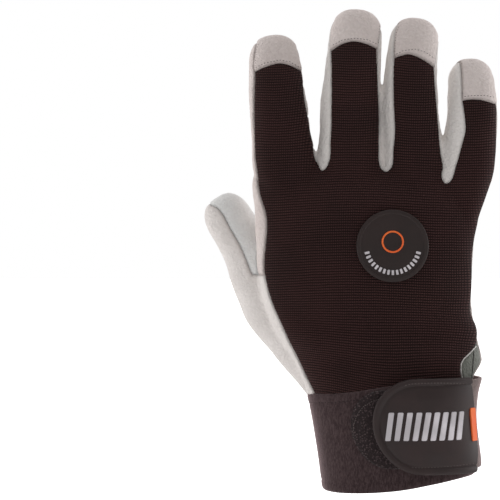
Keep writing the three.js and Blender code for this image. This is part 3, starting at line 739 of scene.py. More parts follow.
def groupNode(tree, group, **values):
    return addNode(tree, "ShaderNodeGroup", {"node_tree": group}, **values)


def objectPlace(tree):
    return tree.nodes.new("ShaderNodeTexCoord").outputs["Object"]


def attribute(tree, name):
    node = tree.nodes.new("ShaderNodeAttribute")
    node.attribute_name = name
    return node


def bumpTo(tree, shader, height, strength, distance):
    bump = addNode(tree, "ShaderNodeBump", Strength=strength, Distance=distance, Height=height)
    tree.links.new(bump.outputs["Normal"], shader.inputs["Normal"])


def leatherMaterial(name, light, dark, cells, bump, creases=0.5, seamDirtAndShade=0.6):
    material, tree, shader = newMaterial(name, 0.6, Specular_IOR_Level=0.3, Sheen_Weight=0.08, Sheen_Roughness=0.5)
    grain = groupNode(tree, grainGroup, Place=objectPlace(tree), Cells=cells, Tone=45.0, Creases=creases)
    pits = mathNode(tree, "MULTIPLY", grain.outputs["Shine"], 0.28)
    share = mathNode(tree, "ADD", mathNode(tree, "MULTIPLY", grain.outputs["Shade"], 0.3), pits)
    tone = mixColour(tree, share, light, dark)
    # partly dirt, partly painted shade: the leather darkens within 1.5 mm of each seam
    seam = mapRange(tree, attribute(tree, "seam").outputs["Fac"], 0.15, 1.5, seamDirtAndShade, 0.0)
    tone = mixColour(tree, seam, tone, tuple(c * 0.55 for c in dark[:3]) + (1,))
    # painted shade: the palm leather is darkened along its creases
    tone = mixColour(tree, mapRange(tree, attribute(tree, "crease").outputs["Fac"], 0.0, 0.9, 0.0, 0.34), tone,
                     tuple(c * 0.6 for c in dark[:3]) + (1,))
    tree.links.new(tone, shader.inputs["Base Color"])
    rough = mapRange(tree, grain.outputs["Shade"], 0.0, 1.0, 0.52, 0.7)
    tree.links.new(rough, shader.inputs["Roughness"])
    bumpTo(tree, shader, grain.outputs["Height"], bump, 0.0009)
    return material


def knitMaterial(name):
    material, tree, shader = newMaterial(name, 0.8, Specular_IOR_Level=0.12, Sheen_Weight=0.05, Sheen_Roughness=0.4,
                                         Sheen_Tint=colour(190, 130, 125))
    place = attribute(tree, "weave").outputs["Vector"]
    ribs = groupNode(tree, ribGroup, Place=place, Row=1.3, Column=1.08, Wander=0.5)
    haze = noiseNode(tree, objectPlace(tree), 38.0, 4.0)
    ground = mixColour(tree, mapRange(tree, haze.outputs["Fac"], 0.35, 0.7), colour(34, 19, 18), colour(50, 29, 28))
    # painted highlight on the loop tops, painted shade along the lines between the rows
    loops = mixColour(tree, ribs.outputs["Loop"], ground, colour(80, 55, 53))
    tree.links.new(mixColour(tree, mapRange(tree, ribs.outputs["Row line"], 0.0, 0.5), colour(22, 11, 10), loops),
                   shader.inputs["Base Color"])
    bumpTo(tree, shader, ribs.outputs["Height"], 0.8, 0.0004)
    return material


def elasticMaterial(name, light, dark):
    # brushed elastic: short upright streaks
    material, tree, shader = newMaterial(name, 0.85, Specular_IOR_Level=0.15, Sheen_Weight=0.95,
                                         Sheen_Roughness=0.38, Sheen_Tint=colour(215, 190, 192))
    place = objectPlace(tree)
    streaks = addNode(tree, "ShaderNodeMapping", Vector=place, Scale=(1.0, 1.0, 0.35))
    noise1 = noiseNode(tree, streaks.outputs[0], 1500.0, 3.0, 0.65)
    noise2 = noiseNode(tree, streaks.outputs[0], 700.0, 2.0)
    mix = mathNode(tree, "ADD", mathNode(tree, "MULTIPLY", noise1.outputs["Fac"], 0.72),
                   mathNode(tree, "MULTIPLY", noise2.outputs["Fac"], 0.28))
    tree.links.new(mixColour(tree, mapRange(tree, mix, 0.36, 0.66), dark, light), shader.inputs["Base Color"])
    bumpTo(tree, shader, mix, 0.45, 0.0005)
    return material


def rubberMaterial(name, tone, roughness):
    material, tree, shader = newMaterial(name, roughness, Specular_IOR_Level=0.45)
    place = objectPlace(tree)
    fine = noiseNode(tree, place, 2200.0, 2.0)
    slow = noiseNode(tree, place, 70.0, 4.0)
    lighter = tuple(min(c * 1.35, 1) for c in tone[:3]) + (1,)
    tree.links.new(mixColour(tree, mapRange(tree, slow.outputs["Fac"], 0.4, 0.7), tone, lighter),
                   shader.inputs["Base Color"])
    tree.links.new(mapRange(tree, slow.outputs["Fac"], 0.3, 0.7, roughness - 0.06, roughness + 0.08),
                   shader.inputs["Roughness"])
    bumpTo(tree, shader, fine.outputs["Fac"], 0.25, 0.0002)
    return material


def pileMaterial(name):
    # the looped pile of the fastening
    material, tree, shader = newMaterial(name, 0.9, Specular_IOR_Level=0.25, Sheen_Weight=0.3, Sheen_Roughness=0.5)
    place = objectPlace(tree)
    dots = addNode(tree, "ShaderNodeTexVoronoi", Vector=place, Scale=900.0, Randomness=0.9)
    tone = mixColour(tree, mapRange(tree, dots.outputs["Distance"], 0.05, 0.5), colour(92, 76, 77),
                     colour(42, 31, 32))
    tree.links.new(tone, shader.inputs["Base Color"])
    bumpTo(tree, shader, mathNode(tree, "MULTIPLY", dots.outputs["Distance"], -1.0), 0.9, 0.0006)
    return material


def threadMaterial(name, light, dark):
    material, tree, shader = newMaterial(name, 0.7, Specular_IOR_Level=0.3)
    twist = noiseNode(tree, objectPlace(tree), 3000.0, 1.0)
    tree.links.new(mixColour(tree, twist.outputs["Fac"], dark, light), shader.inputs["Base Color"])
    bumpTo(tree, shader, twist.outputs["Fac"], 0.5, 0.0002)
    return material


leatherLook = leatherMaterial("palmLeather", colour(232, 220, 216), colour(200, 186, 181), 860.0, 0.75)
thumbLook = leatherMaterial("thumbLeather", colour(236, 229, 225), colour(214, 206, 202), 860.0, 0.6, 0.8, 0.42)
innerLook = leatherMaterial("innerLeather", colour(236, 235, 233), colour(216, 215, 214), 900.0, 0.6, 0.5, 0.42)
# painted light: the gussets are a paler copy of the palm leather, for the light that passes between the fingers
gussetLitLook = leatherMaterial("gussetLeather", colour(247, 241, 237), colour(226, 219, 215), 860.0, 0.8, 1.2, 0.45)
ventLook = leatherMaterial("ventLeather", colour(104, 105, 97), colour(80, 82, 75), 900.0, 0.6)
knitLook = knitMaterial("backKnit")
cuffLook = elasticMaterial("cuffElastic", colour(80, 65, 66), colour(54, 41, 42))
# painted light: the dark brown band is painted pale grey-brown, as the rim light shows it at the glove's side
rimLitBandLook = elasticMaterial("bandWebbing", colour(128, 116, 112), colour(98, 87, 84))
rubberLook = rubberMaterial("tabRubber", colour(45, 31, 30), 0.5)
badgeLook = rubberMaterial("badgeRubber", colour(37, 24, 22), 0.52)
markLook = rubberMaterial("greyMarks", colour(206, 200, 204), 0.5)
orangeLook = rubberMaterial("orangeMarks", colour(255, 108, 44), 0.5)
pileLook = pileMaterial("padPile")
blackThread = threadMaterial("blackThread", colour(34, 26, 26), colour(16, 11, 11))
darkThread = threadMaterial("darkThread", colour(70, 58, 57), colour(42, 33, 32))
# painted highlight: the tab's stitches are painted paler than their dark thread
tabThread = threadMaterial("tabThread", colour(104, 92, 90), colour(72, 62, 60))
paleThread = threadMaterial("paleThread", colour(126, 116, 112), colour(84, 74, 72))
print("materials made")


# panels as meshes

panelLook = {
    "palm_panel": {"look": leatherLook, "slot": "palm_leather", "rise": 0.35, "pucker": 0.22, "folds": 0.35},
    "thumb": {"look": thumbLook, "slot": "palm_leather", "rise": 0.35, "pucker": 0.22, "folds": 0.4},
    "thumb_inner": {"look": innerLook, "slot": "grey_leather", "rise": 0.2, "pucker": 0.3, "folds": 0.45},
    "gusset": {"look": gussetLitLook, "slot": "palm_leather", "rise": 0.1, "pucker": 0.35, "folds": 0.55},
    "cap": {"look": leatherLook, "slot": "palm_leather", "rise": 0.55, "pucker": 0.15, "folds": 0.12},
    "side_gusset": {"look": ventLook, "slot": "grey_leather", "rise": -0.5, "pucker": 0.2, "folds": 0.3},
    "back_panel": {"look": knitLook, "slot": "back_knit", "rise": 0.0, "pucker": 0.0, "folds": 0.18},
    "cuff": {"look": cuffLook, "slot": "cuff_elastic", "rise": 0.9, "pucker": 0.0, "folds": 0.12},
}
sewing = {"rollDepth": 0.85, "rollWidth": 1.9, "puckerLength": 4.5, "wall": 1.2, "cuffWall": 2.2,
          "pinchSizes": (2.6, 1.3), "pinchShare": (0.3, 1.6), "foldSizes": (13, 5.5),
          "rowFrom": 3.8, "rowAt": 4.6, "rowTo": 5.6, "rowDeep": 0.35}


def noiseAt(spots, size, seed):
    shift = Vector((seed * 17.3, seed * 5.1, seed * 9.7))
    return np.array([noise.noise(Vector(s) / size + shift) for s in spots])


def roundOff(away, reach):
    # 1 on an edge and 0 from reach inward, along a quarter circle
    return 1 - np.sqrt(1 - (1 - np.clip(away / reach, 0, 1)) ** 2)


def borderSpots(verts, faces):
    keys, counts = np.unique(np.sort(sidesOf(faces), axis=1), axis=0, return_counts=True)
    rim = keys[counts == 1]
    a, b = verts[rim[:, 0]], verts[rim[:, 1]]
    return np.concatenate([a, a * 0.67 + b * 0.33, a * 0.33 + b * 0.67])


def merged(verts, faces, close=0.14):
    mesh = bpy.data.meshes.new("merge")
    mesh.from_pydata(verts[:, :3].tolist(), [], faces.tolist())
    bm = bmesh.new()
    bm.from_mesh(mesh)
    bmesh.ops.remove_doubles(bm, verts=bm.verts, dist=close)
    bmesh.ops.dissolve_degenerate(bm, edges=bm.edges, dist=0.02)
    bmesh.ops.triangulate(bm, faces=bm.faces)
    bm.verts.index_update()
    spots = np.array([v.co[:] for v in bm.verts])
    corners = np.array([[v.index for v in f.verts] for f in bm.faces])
    bm.free()
    bpy.data.meshes.remove(mesh)
    return spots, corners


def nearestTo(spots, goals):
    tree = KDTree(len(goals))
    for k, goal in enumerate(goals):
        tree.insert(goal, k)
    tree.balance()
    found = [tree.find(s) for s in spots]
    return np.array([f[1] for f in found]), np.array([f[2] for f in found])


def wholeNormals(verts, faces):
    a, b, c = (verts[faces[:, k]] for k in range(3))
    flat = np.cross(b - a, c - a)
    total = np.zeros_like(verts)
    for k in range(3):
        for axis in range(3):
            total[:, axis] += np.bincount(faces[:, k], flat[:, axis], len(verts))
    return total / np.maximum(np.linalg.norm(total, axis=1, keepdims=True), 1e-9)


def onPalm(*pixels):
    # places in the palm side's picture, as x and z in millimetres
    middle, hem, scale = picture["palmAcross"], picture["hemDown"], picture["perMm"]
    return [((middle - across) / scale, (hem - down) / scale) for across, down in pixels]


# creases on the palm side: where, how deep and how wide
creases = [
    (onPalm((62, 158), (80, 155), (98, 158)), 0.5, 1.6), (onPalm((64, 183), (82, 186), (100, 181)), 0.45, 1.8),
    (onPalm((122, 150), (142, 146), (158, 150)), 0.5, 1.6), (onPalm((120, 178), (138, 182), (156, 178)), 0.45, 1.8),
    (onPalm((18, 148), (34, 144), (48, 150)), 0.45, 1.6), (onPalm((26, 176), (44, 178), (58, 172)), 0.4, 1.8),
    (onPalm((176, 180), (190, 176), (202, 180)), 0.45, 1.6),
    (onPalm((166, 279), (158, 288), (154, 300), (151, 330)), 0.5, 1.8),
    (onPalm((186, 258), (174, 265), (164, 276)), 0.4, 1.7),
    (onPalm((50, 372), (84, 380), (118, 384), (146, 380)), 0.3, 2.6),
    (onPalm((70, 350), (104, 360), (136, 362)), 0.2, 2.8),
    (onPalm((30, 250), (52, 262), (70, 286)), 0.3, 3.0),
]


creaseForm = {"deep": 1.7, "bank": 0.45, "bankAt": 2.1}


def creaseDepth(spots):
    depth = np.zeros(len(spots))
    flat = spots[:, [0, 2]]
    for line, deep, wide in creases:
        line = np.array(line)
        away = np.full(len(spots), 1e3)
        for a, b in zip(line[:-1], line[1:]):
            s = np.clip(((flat - a) @ (b - a)) / ((b - a) @ (b - a)), 0, 1)
            away = np.minimum(away, np.linalg.norm(flat - a - s[:, None] * (b - a), axis=1))
        depth = depth - creaseForm["deep"] * deep * np.exp(-(away / wide) ** 2)
        bank = (away - creaseForm["bankAt"] * wide) / wide
        depth = depth + creaseForm["bank"] * deep * np.exp(-bank ** 2)
    return np.where(spots[:, 1] > 1.5, depth, 0)


slack = {"down": 335, "spread": 34, "from": 280, "full": 320, "high": 0.9, "broad": 0.5, "broadSize": 11}


def knitFolds(spots):
    # slack diagonal folds low on the back, above the strap
    down, across = photoPlace(spots)
    mask = smoothStep(slack["from"], slack["full"], across)
    mask = np.exp(-((down - slack["down"]) / slack["spread"]) ** 2) * mask
    wave = np.sin((down - 0.16 * across) / 6.4) + 0.6 * np.sin((down + 0.07 * across) / 9.7 + 1.3)
    broad = slack["broad"] * noiseAt(spots * (0.5, 1, 1), slack["broadSize"], 3)
    return np.where(spots[:, 1] < 0, mask * slack["high"] * wave + broad, broad / 2)


fullNormals = wholeNormals(points, tris)


def walledObject(name, outer, inner, faces, values):
    # an outer and an inner skin, closed along their rims
    count = len(outer)
    pairs = sidesOf(faces)
    _, index, counts = np.unique(np.sort(pairs, axis=1), axis=0, return_index=True, return_counts=True)
    a, b = pairs[index[counts == 1]].T
    rim = np.stack([b, a, a + count, b + count], 1)
    mesh = bpy.data.meshes.new(name)
    mesh.from_pydata((np.concatenate([outer, inner]) * mm).tolist(), [],
                     faces.tolist() + (faces[:, ::-1] + count).tolist() + rim.tolist())
    for key, value in values.items():
        kind, field = ("FLOAT", "value") if value.ndim == 1 else ("FLOAT_VECTOR", "vector")
        layer = mesh.attributes.new(key, kind, "POINT")
        layer.data.foreach_set(field, np.concatenate([value, value]).astype(np.float32).ravel())
    mesh.polygons.foreach_set("use_smooth", [True] * len(mesh.polygons))
    return linked(name, mesh)


def panelObject(name, verts, faces):
    style = panelLook.get(name) or panelLook[name.split("_")[0]]
    spots, corners = merged(verts, faces)
    rim = borderSpots(spots, corners)
    index, away = nearestTo(spots, rim)
    out = fullNormals[nearestTo(spots, points)[0]]
    lift = style["rise"] - sewing["rollDepth"] * roundOff(away, sewing["rollWidth"])
    if style["pucker"]:
        wide, fine = sewing["pinchSizes"]
        pinch = noiseAt(rim, wide, 2)[index] + 0.5 * noiseAt(rim, fine, 5)[index]
        fade = np.exp(-away / sewing["puckerLength"])
        lift += style["pucker"] * pinch * fade * smoothStep(*sewing["pinchShare"], away)
    if name == "back_panel":
        lift += knitFolds(spots)
    elif name == "palm_panel":
        lift += creaseDepth(spots)
    if name != "back_panel":
        wide, fine = sewing["foldSizes"]
        lift += style["folds"] * (noiseAt(spots, wide, 1) + 0.4 * noiseAt(spots, fine, 4))
    if name == "cuff":
        row = smoothStep(sewing["rowFrom"], sewing["rowAt"], away)
        lift -= sewing["rowDeep"] * row * (1 - smoothStep(sewing["rowAt"], sewing["rowTo"], away))
    placed = spots + out * lift[:, None]
    wall = sewing["cuffWall"] if name == "cuff" else sewing["wall"]
    # distance to the panel's edge; the leather darkens towards it as dirt and painted shade
    values = {"seam": np.minimum(away, 8)}
    if name == "back_panel":
        values["weave"] = weavePlace(spots)
    elif name == "palm_panel":
        # how strongly painted shade darkens the leather in each crease
        values["crease"] = np.clip(-0.75 * creaseDepth(spots), 0, 0.7)
    obj = walledObject(name + "_skin", placed, placed - out * wall, corners, values)
    obj.data.materials.append(style["look"])
    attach(obj, "root")
    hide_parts(name)
    return obj


def weavePlace(spots):
    # knitted rows run across the hand and bend round each finger
    x, y, z = spots.T
    low = 1 - smoothStep(58, 104, z)
    along = z + 0.8 * np.sin(x / 16) - 0.02 * np.abs(y) + low * (1.9 * np.sin(x / 12 + z / 24) + 0.05 * x)
    for digit in digits:
        centre = digit["middle"](np.clip((z - hand["palmHeight"]) / digit["length"], -0.5, 1))
        inside = smoothStep(0, 18, z - hand["palmHeight"]) * (np.abs(x - centre[:, 0]) < 15)
        along = along - 1.2 * inside * ((x - centre[:, 0]) / 12) ** 2
    return np.stack([x + 0.35 * np.abs(y), along, 0 * z], axis=1)


made = {name: panelObject(name, *panel) for name, panel in panels.items()}
print("panels sewn", sum(len(o.data.polygons) for o in made.values()), "faces")

# the fastening: flat plates, rounded at one end, wrapped round the cuff

plates = {
    "middle": 35, "proud": 0.9, "roundShare": 0.4, "edgeDeep": 0.5, "edgeWide": 1.2,
    "pad": {"from": -0.657, "to": -0.33, "height": 37.5, "shift": -1.8, "round": 17, "wall": 1.2, "low": 0.3,
            "columns": 90, "rows": 60, "pile": 0.28},
    "strap": {"from": -0.52, "to": 0.19, "height": 43.2, "round": 12, "wall": 1.5, "low": 1.8, "columns": 150,
              "rows": 44, "drop": 1.5, "dropOver": 0.2},
    "tab": {"from": -0.564, "to": -0.175, "height": 46, "round": 22, "wall": 2.0, "low": 3.6, "columns": 150,
            "rows": 84, "slant": 1.1, "bow": 4.6, "bead": 2.6, "beadRise": 0.55, "beadSoft": 0.3,
            "groove": 0.54, "grooveAt": 0.9, "grooveDeep": 0.45, "crown": 0.35, "crownFrom": 1, "crownTo": 8,
            "edgeDeep": 0.7},
}


def cuffPoint(turn, z, out):
    turn, z, out = np.broadcast_arrays(turn, z, out)
    return cinched(palmPoints(z / hand["palmHeight"], turn, -(plates["proud"] + out)))


def plateFlat(plate, length, grid):
    # a square grid from -1 to 1 laid out flat: its left side follows the round end
    half, lean = plate["height"] / 2, plate["round"] * 1.5
    share, h = (grid[:, 0] + 1) / 2, grid[:, 1]
    split = plates["roundShare"]
    near = np.clip(share / split, 0, 1)
    arc = h * math.pi / 2
    x = (1 - near) * plate["round"] * (1 - np.cos(arc)) + near * lean
    x = np.where(share > split, lean + (length - lean) * (share - split) / (1 - split), x)
    y = (1 - near) * half * np.sin(arc) + near * half * h
    return x, y


def plateRim(plate, length):
    half = plate["height"] / 2
    arc = np.linspace(-math.pi / 2, math.pi / 2, 120)
    straight = np.linspace(plate["round"], length, 160)
    rim = [np.stack([plate["round"] * (1 - np.cos(arc)), half * np.sin(arc)], 1)]
    rim += [np.stack([straight, np.full(160, side * half)], 1) for side in (-1, 1)]
    if "slant" not in plate:
        rim.append(np.stack([np.full(120, length), np.linspace(-half, half, 120)], 1))
    return np.concatenate(rim)


def plateArcs(plate):
    # turns round the cuff and how far along the plate they lie
    turns = np.linspace(plate["from"], plate["to"] + 0.03, 400) * math.pi
    line = cuffPoint(turns, plates["middle"], plate["low"])
    return turns, np.concatenate([[0], np.cumsum(np.linalg.norm(np.diff(line, axis=0), axis=1))])


def wrapPlate(name, plate, relief, lift):
    bpy.ops.object.select_all(action="DESELECT")
    bpy.ops.mesh.primitive_grid_add(x_subdivisions=plate["columns"] - 1, y_subdivisions=plate["rows"] - 1, size=2,
                                    location=(0, 0, 0))
    obj = bpy.context.object
    obj.name = name
    mesh = obj.data
    grid = np.empty(len(mesh.vertices) * 3)
    mesh.vertices.foreach_get("co", grid)
    turns, arcs = plateArcs(plate)
    length = np.interp(plate["to"] * math.pi, turns, arcs)
    along, height = plateFlat(plate, length, grid.reshape(-1, 3))
    rim = np.pad(plateRim(plate, length), ((0, 0), (0, 1)))
    _, away = nearestTo(np.stack([along, height, 0 * along], 1), rim)
    out = plate["low"] + plate["wall"] + relief(away, along, height)
    side = height / plate["height"] * 2
    lean = (plate.get("slant", 0) * side + plate.get("bow", 0) * side ** 2) * smoothStep(0.5, 1.0, along / length)
    turn = np.interp(along - lean, arcs, turns)
    if lift:
        out = out + lift(turn)
    level = plates["middle"] + plate.get("shift", 0) + height
    place = cuffPoint(turn, level, out)
    mesh.vertices.foreach_set("co", (place * mm).ravel())
    mesh.update()
    bm = bmesh.new()
    bm.from_mesh(mesh)
    bmesh.ops.recalc_face_normals(bm, faces=bm.faces)
    if min(bm.faces, key=lambda f: f.calc_center_median().y).normal.y > 0:
        bmesh.ops.reverse_faces(bm, faces=bm.faces)
    bm.to_mesh(mesh)
    bm.free()
    applyModifier(obj, "SOLIDIFY", thickness=plate["wall"] * mm, offset=-1)
    # the new inner points follow the cuff too
    place = np.concatenate([place, cuffPoint(turn, level, out - plate["wall"])])
    mesh.vertices.foreach_set("co", (place * mm).ravel())
    mesh.polygons.foreach_set("use_smooth", [True] * len(mesh.polygons))
    bpy.ops.object.shade_smooth_by_angle(angle=math.radians(50))
    return obj


def tabRelief(away, along, height):
    t = plates["tab"]
    half = t["bead"] / 2
    bead = t["beadRise"] * np.sqrt(np.maximum(1 - ((away - half) / (half + t["beadSoft"])) ** 2, 0))
    groove = -t["grooveDeep"] * np.exp(-((away - t["bead"] - t["grooveAt"]) / t["groove"]) ** 2)
    crown = t["crown"] * smoothStep(t["bead"] + t["crownFrom"], t["bead"] + t["crownTo"], away)
    return bead + groove + crown - t["edgeDeep"] * roundOff(away, 1.0)


def padRelief(away, along, height):
    lumps = np.array([noise.noise(Vector((a / 0.9, h / 0.9, 4.0))) for a, h in zip(along, height)])
    return plates["pad"]["pile"] * np.abs(lumps) * smoothStep(0.6, 1.6, away) + strapRelief(away, along, height)


def strapRelief(away, along, height):
    return -plates["edgeDeep"] * roundOff(away, plates["edgeWide"])


def strapDrop(turn):
    # the band comes down onto the cuff where it is sewn on
    strap = plates["strap"]
    return -strap["drop"] * (1 - np.clip((strap["to"] * math.pi - turn) / (strap["dropOver"] * math.pi), 0, 1))


fastening = [
    ("loop_pad", "pad", pileLook, "fastening", padRelief, None),
    ("strap", "strap", rimLitBandLook, "strap_web", strapRelief, strapDrop),
    ("strap_tab", "tab", rubberLook, "rubber", tabRelief, None),
]
for node, key, look, slot, relief, lift in fastening:
    obj = wrapPlate(node + "_plate", plates[key], relief, lift)
    obj.data.materials.append(look)
    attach(obj, "root")
    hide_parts(node)
    made[node] = obj
print("fastening wrapped")


# the round badge on the back of the hand

badge = {"across": -5.5, "up": 122, "radius": 17.7, "wall": 2.2, "rim": 2.2, "rimRise": 0.55, "steps": 96,
         "edge": 0.5, "clear": 0.2, "rimSteps": (0.5, 0.3), "topSteps": (0.5, 1.5, 2.5, 3, 3, 3),
         "underSteps": (2, 3, 3, 3, 3)}
handSkin = BVHTree.FromPolygons(points.tolist(), tris.tolist())


def backAt(x, z):
    # how far back the hand's skin lies at a place on the back
    return handSkin.ray_cast(Vector((x, -120, z)), Vector((0, 1, 0)))[0].y


def selectFaces(obj, choose):
    bpy.ops.mesh.select_all(action="DESELECT")
    bm = bmesh.from_edit_mesh(obj.data)
    for face in bm.faces:
        face.select = choose(face)
    bm.select_flush_mode()
    bmesh.update_edit_mesh(obj.data)


def makeBadge():
    # shaped flat and facing up, then laid on the curved back
    bpy.ops.object.select_all(action="DESELECT")
    bpy.ops.mesh.primitive_cylinder_add(vertices=badge["steps"], radius=badge["radius"] * mm,
                                        depth=badge["wall"] * mm, location=(0, 0, badge["wall"] / 2 * mm))
    disc = bpy.context.object
    disc.name = "badge_disc"
    bpy.ops.object.transform_apply(location=True, rotation=True, scale=True)
    bpy.ops.object.mode_set(mode="EDIT")
    bpy.ops.mesh.select_mode(type="FACE")
    top = badge["wall"] * mm
    isTop = lambda face: face.calc_center_median().z > top - 0.01 * mm and face.normal.z > 0.9
    selectFaces(disc, isTop)
    bpy.ops.mesh.bevel(offset=badge["edge"] * mm, segments=3, affect="EDGES")
    selectFaces(disc, isTop)
    for share in badge["rimSteps"]:
        bpy.ops.mesh.inset(thickness=badge["rim"] * share * mm)
    bpy.ops.transform.translate(value=(0, 0, -badge["rimRise"] * mm))
    for width in badge["topSteps"]:
        bpy.ops.mesh.inset(thickness=width * mm)
    selectFaces(disc, lambda face: face.normal.z < -0.9)
    for width in badge["underSteps"]:
        bpy.ops.mesh.inset(thickness=width * mm)
    bpy.ops.object.mode_set(mode="OBJECT")
    for v in disc.data.vertices:
        x, z = badge["across"] + v.co.x / mm, badge["up"] + v.co.y / mm
        v.co = Vector((x, backAt(x, z) - badge["clear"] - v.co.z / mm, z)) * mm
    disc.data.flip_normals()
    bpy.ops.object.shade_smooth_by_angle(angle=math.radians(35))
    disc.data.materials.append(badgeLook)
    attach(disc, "root")
    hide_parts("badge")
    return disc


made["badge"] = makeBadge()


# raised marks: bars with rounded edges, laid on a surface

def bridged(bm, rings):
    # rings of points joined into a closed tube
    count = len(rings[0])
    for lower, upper in zip(rings[:-1], rings[1:]):
        for k in range(count):
            bm.faces.new((lower[k], lower[(k + 1) % count], upper[(k + 1) % count], upper[k]))
    bm.faces.new(rings[0][::-1])
    bm.faces.new(rings[-1])


def finished(bm, name, look, isSmooth):
    bmesh.ops.recalc_face_normals(bm, faces=bm.faces)
    mesh = bpy.data.meshes.new(name)
    bm.to_mesh(mesh)
    bm.free()
    mesh.polygons.foreach_set("use_smooth", [isSmooth] * len(mesh.polygons))
    mesh.materials.append(look)
    obj = linked(name, mesh)
    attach(obj, "root")
    return obj


# the rounded side of a bar: how far in and how high
barSteps = [(0.0, -0.25), (0.0, 0.55), (0.12, 0.85), (0.3, 1.0)]


def barPiece(name, outline, thick, placeOf, look):
    # outline is a list of flat corners, rounded and raised by thick, then laid by placeOf
    bm = bmesh.new()
    middle = np.mean(outline, axis=0)
    rings = []
    for inset, level in barSteps:
        ring = []
        for corner in outline:
            away = corner - middle
            length = np.linalg.norm(away)
            spot = middle + away * (length - inset) / length
            ring.append(bm.verts.new((placeOf(spot[0], spot[1], thick * level) * mm).tolist()))
        rings.append(ring)
    bridged(bm, rings)
    obj = finished(bm, name, look, False)
    return obj


def roundedBar(x, y, wide, tall, lean, corner):
    spots = []
    for k, (sx, sy) in enumerate(((1, 1), (-1, 1), (-1, -1), (1, -1))):
        for turn in np.linspace(0, math.pi / 2, 4) + k * math.pi / 2:
            px = sx * (wide / 2 - corner) + corner * math.cos(turn)
            py = sy * (tall / 2 - corner) + corner * math.sin(turn)
            spots.append((x + px + lean * py, y + py))
    return np.array(spots)


tabMarks = {"from": 7.7, "pitch": 4.17, "count": 9, "wide": 2.5, "tall": 13.5, "lean": 0.2,
            "thick": 0.6, "up": 0.3, "lastTall": 16, "lastWide": 3.4, "last": 49.3}
badgeMarks = {"ring": 5.0, "ringWidth": 0.9, "ringUp": 2.0, "ringProud": 0.1, "arc": 13.0, "dashes": 17,
              "from": 195, "to": 345, "wide": 1.2, "tall": 2.4, "thick": 0.4}


def onTab(x, y, level):
    t = plates["tab"]
    turns, arcs = plateArcs(t)
    face = t["low"] + t["wall"] + t["crown"]
    return cuffPoint(np.interp(x, arcs, turns), plates["middle"] + y, face + level)


def onBadge(x, y, level):
    x, z = badge["across"] + x, badge["up"] + y
    return np.array([x, backAt(x, z) - badge["clear"] - badge["wall"] + badge["rimRise"] - level, z])


def makeMarks():
    m = tabMarks
    bars = []
    for k in range(m["count"]):
        bar = roundedBar(m["from"] + k * m["pitch"], m["up"], m["wide"], m["tall"], m["lean"], 0.5)
        bars.append(barPiece("tabBar", bar, m["thick"], onTab, markLook))
    joinPieces("tab_marks", bars)
    bar = roundedBar(m["last"], m["up"], m["lastWide"], m["lastTall"], 0, 0.6)
    barPiece("tab_end_mark", bar, m["thick"], onTab, orangeLook)
    b = badgeMarks
    dashes = []
    for turn in np.radians(np.linspace(b["from"], b["to"], b["dashes"])):
        bar = roundedBar(0, 0, b["wide"], b["tall"], 0, 0.3)
        c, s = math.sin(turn), -math.cos(turn)
        placed = np.stack([bar[:, 0] * c - bar[:, 1] * s, bar[:, 0] * s + bar[:, 1] * c], 1)
        placed = placed + b["arc"] * np.array([math.cos(turn), math.sin(turn)])
        dashes.append(barPiece("badgeDash", placed, b["thick"], onBadge, markLook))
    joinPieces("badge_dashes", dashes)


def makeRing():
    b = badgeMarks
    bpy.ops.object.select_all(action="DESELECT")
    bpy.ops.mesh.primitive_torus_add(major_segments=72, minor_segments=10, major_radius=b["ring"] * mm,
                                     minor_radius=b["ringWidth"] / 2 * mm, location=(0, 0, 0))
    ring = bpy.context.object
    ring.name = "badge_ring"
    for v in ring.data.vertices:
        v.co = Vector(onBadge(v.co.x / mm, b["ringUp"] + v.co.y / mm, b["ringProud"] + v.co.z / mm)) * mm
    ring.data.flip_normals()
    bpy.ops.object.shade_smooth()
    ring.data.materials.append(orangeLook)
    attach(ring, "root")


makeMarks()
makeRing()
print("badge and marks")

# stitches: short threads laid on the surface along lines read off the picture

stitch = {"pitch": 1.6, "long": 1.05, "thick": 0.46, "sink": 0.1, "cuffEvery": 2.4, "cuffBelow": 4.2}

# a thread's shape: how far along and how thick, and the six turns of its points
threadSteps = ((-0.5, 0.15), (-0.36, 0.8), (0, 1.0), (0.36, 0.8), (0.5, 0.15))
threadTurns = (0, 1.05, 2.09, 3.14, 4.19, 5.24)
backLines = {
    "cap_index": [(254.6, 68), (264.9, 63), (279.8, 60), (289.8, 61.7), (299, 67)],
    "cap_middle": [(332, 45.5), (342.8, 39.8), (356, 38.2), (367.7, 39.8), (376.8, 44)],
    "cap_ring": [(395.5, 54.5), (403.3, 50.6), (415.8, 49.2), (425.7, 52.2), (434, 58)],
    "cap_little": [(463.6, 96.6), (472.2, 95.6), (485.4, 95.4), (495.5, 97.4)],
}
sideLines = {
    "ring_side": [(399, 26), (396.2, 34), (395, 44), (394.8, 54)],
    "middle_side": [(379.4, 25), (379, 34), (378.2, 45)],
    "little_side": [(461.4, 62), (461.6, 72), (462.4, 84), (463, 95)],
    "index_side": [(258.4, 43), (256.2, 52), (255, 66)],
}
tabLines = {
    "tab_top": [(404.5, 385.6), (412.4, 384), (425.6, 383.2), (438.7, 383), (451.9, 383.2), (468.5, 384.2)],
    "tab_bottom": [(411, 467.4), (420.3, 468), (438.7, 467.2), (458.5, 465.5), (476, 463.4)],
}
padLines = {
    "pad_edge": [(382, 398.5), (372, 401.5), (363, 407), (357, 415), (353.6, 425), (353, 437), (355.2, 449),
                 (360.5, 459), (369, 466.5), (380, 470.5)],
}
palmLines = {
    "palm_line": [(15, 228), (28, 223), (40, 219.5), (64, 219), (88, 220), (112, 218), (135, 212), (159, 206),
                  (172, 205), (183, 209), (204, 210)],
    "thumb_line": [(222, 237), (208, 247), (198, 255), (189, 268), (180, 276), (163, 285.5), (157, 294),
                   (152.5, 313), (148.6, 364), (147.6, 410)],
}


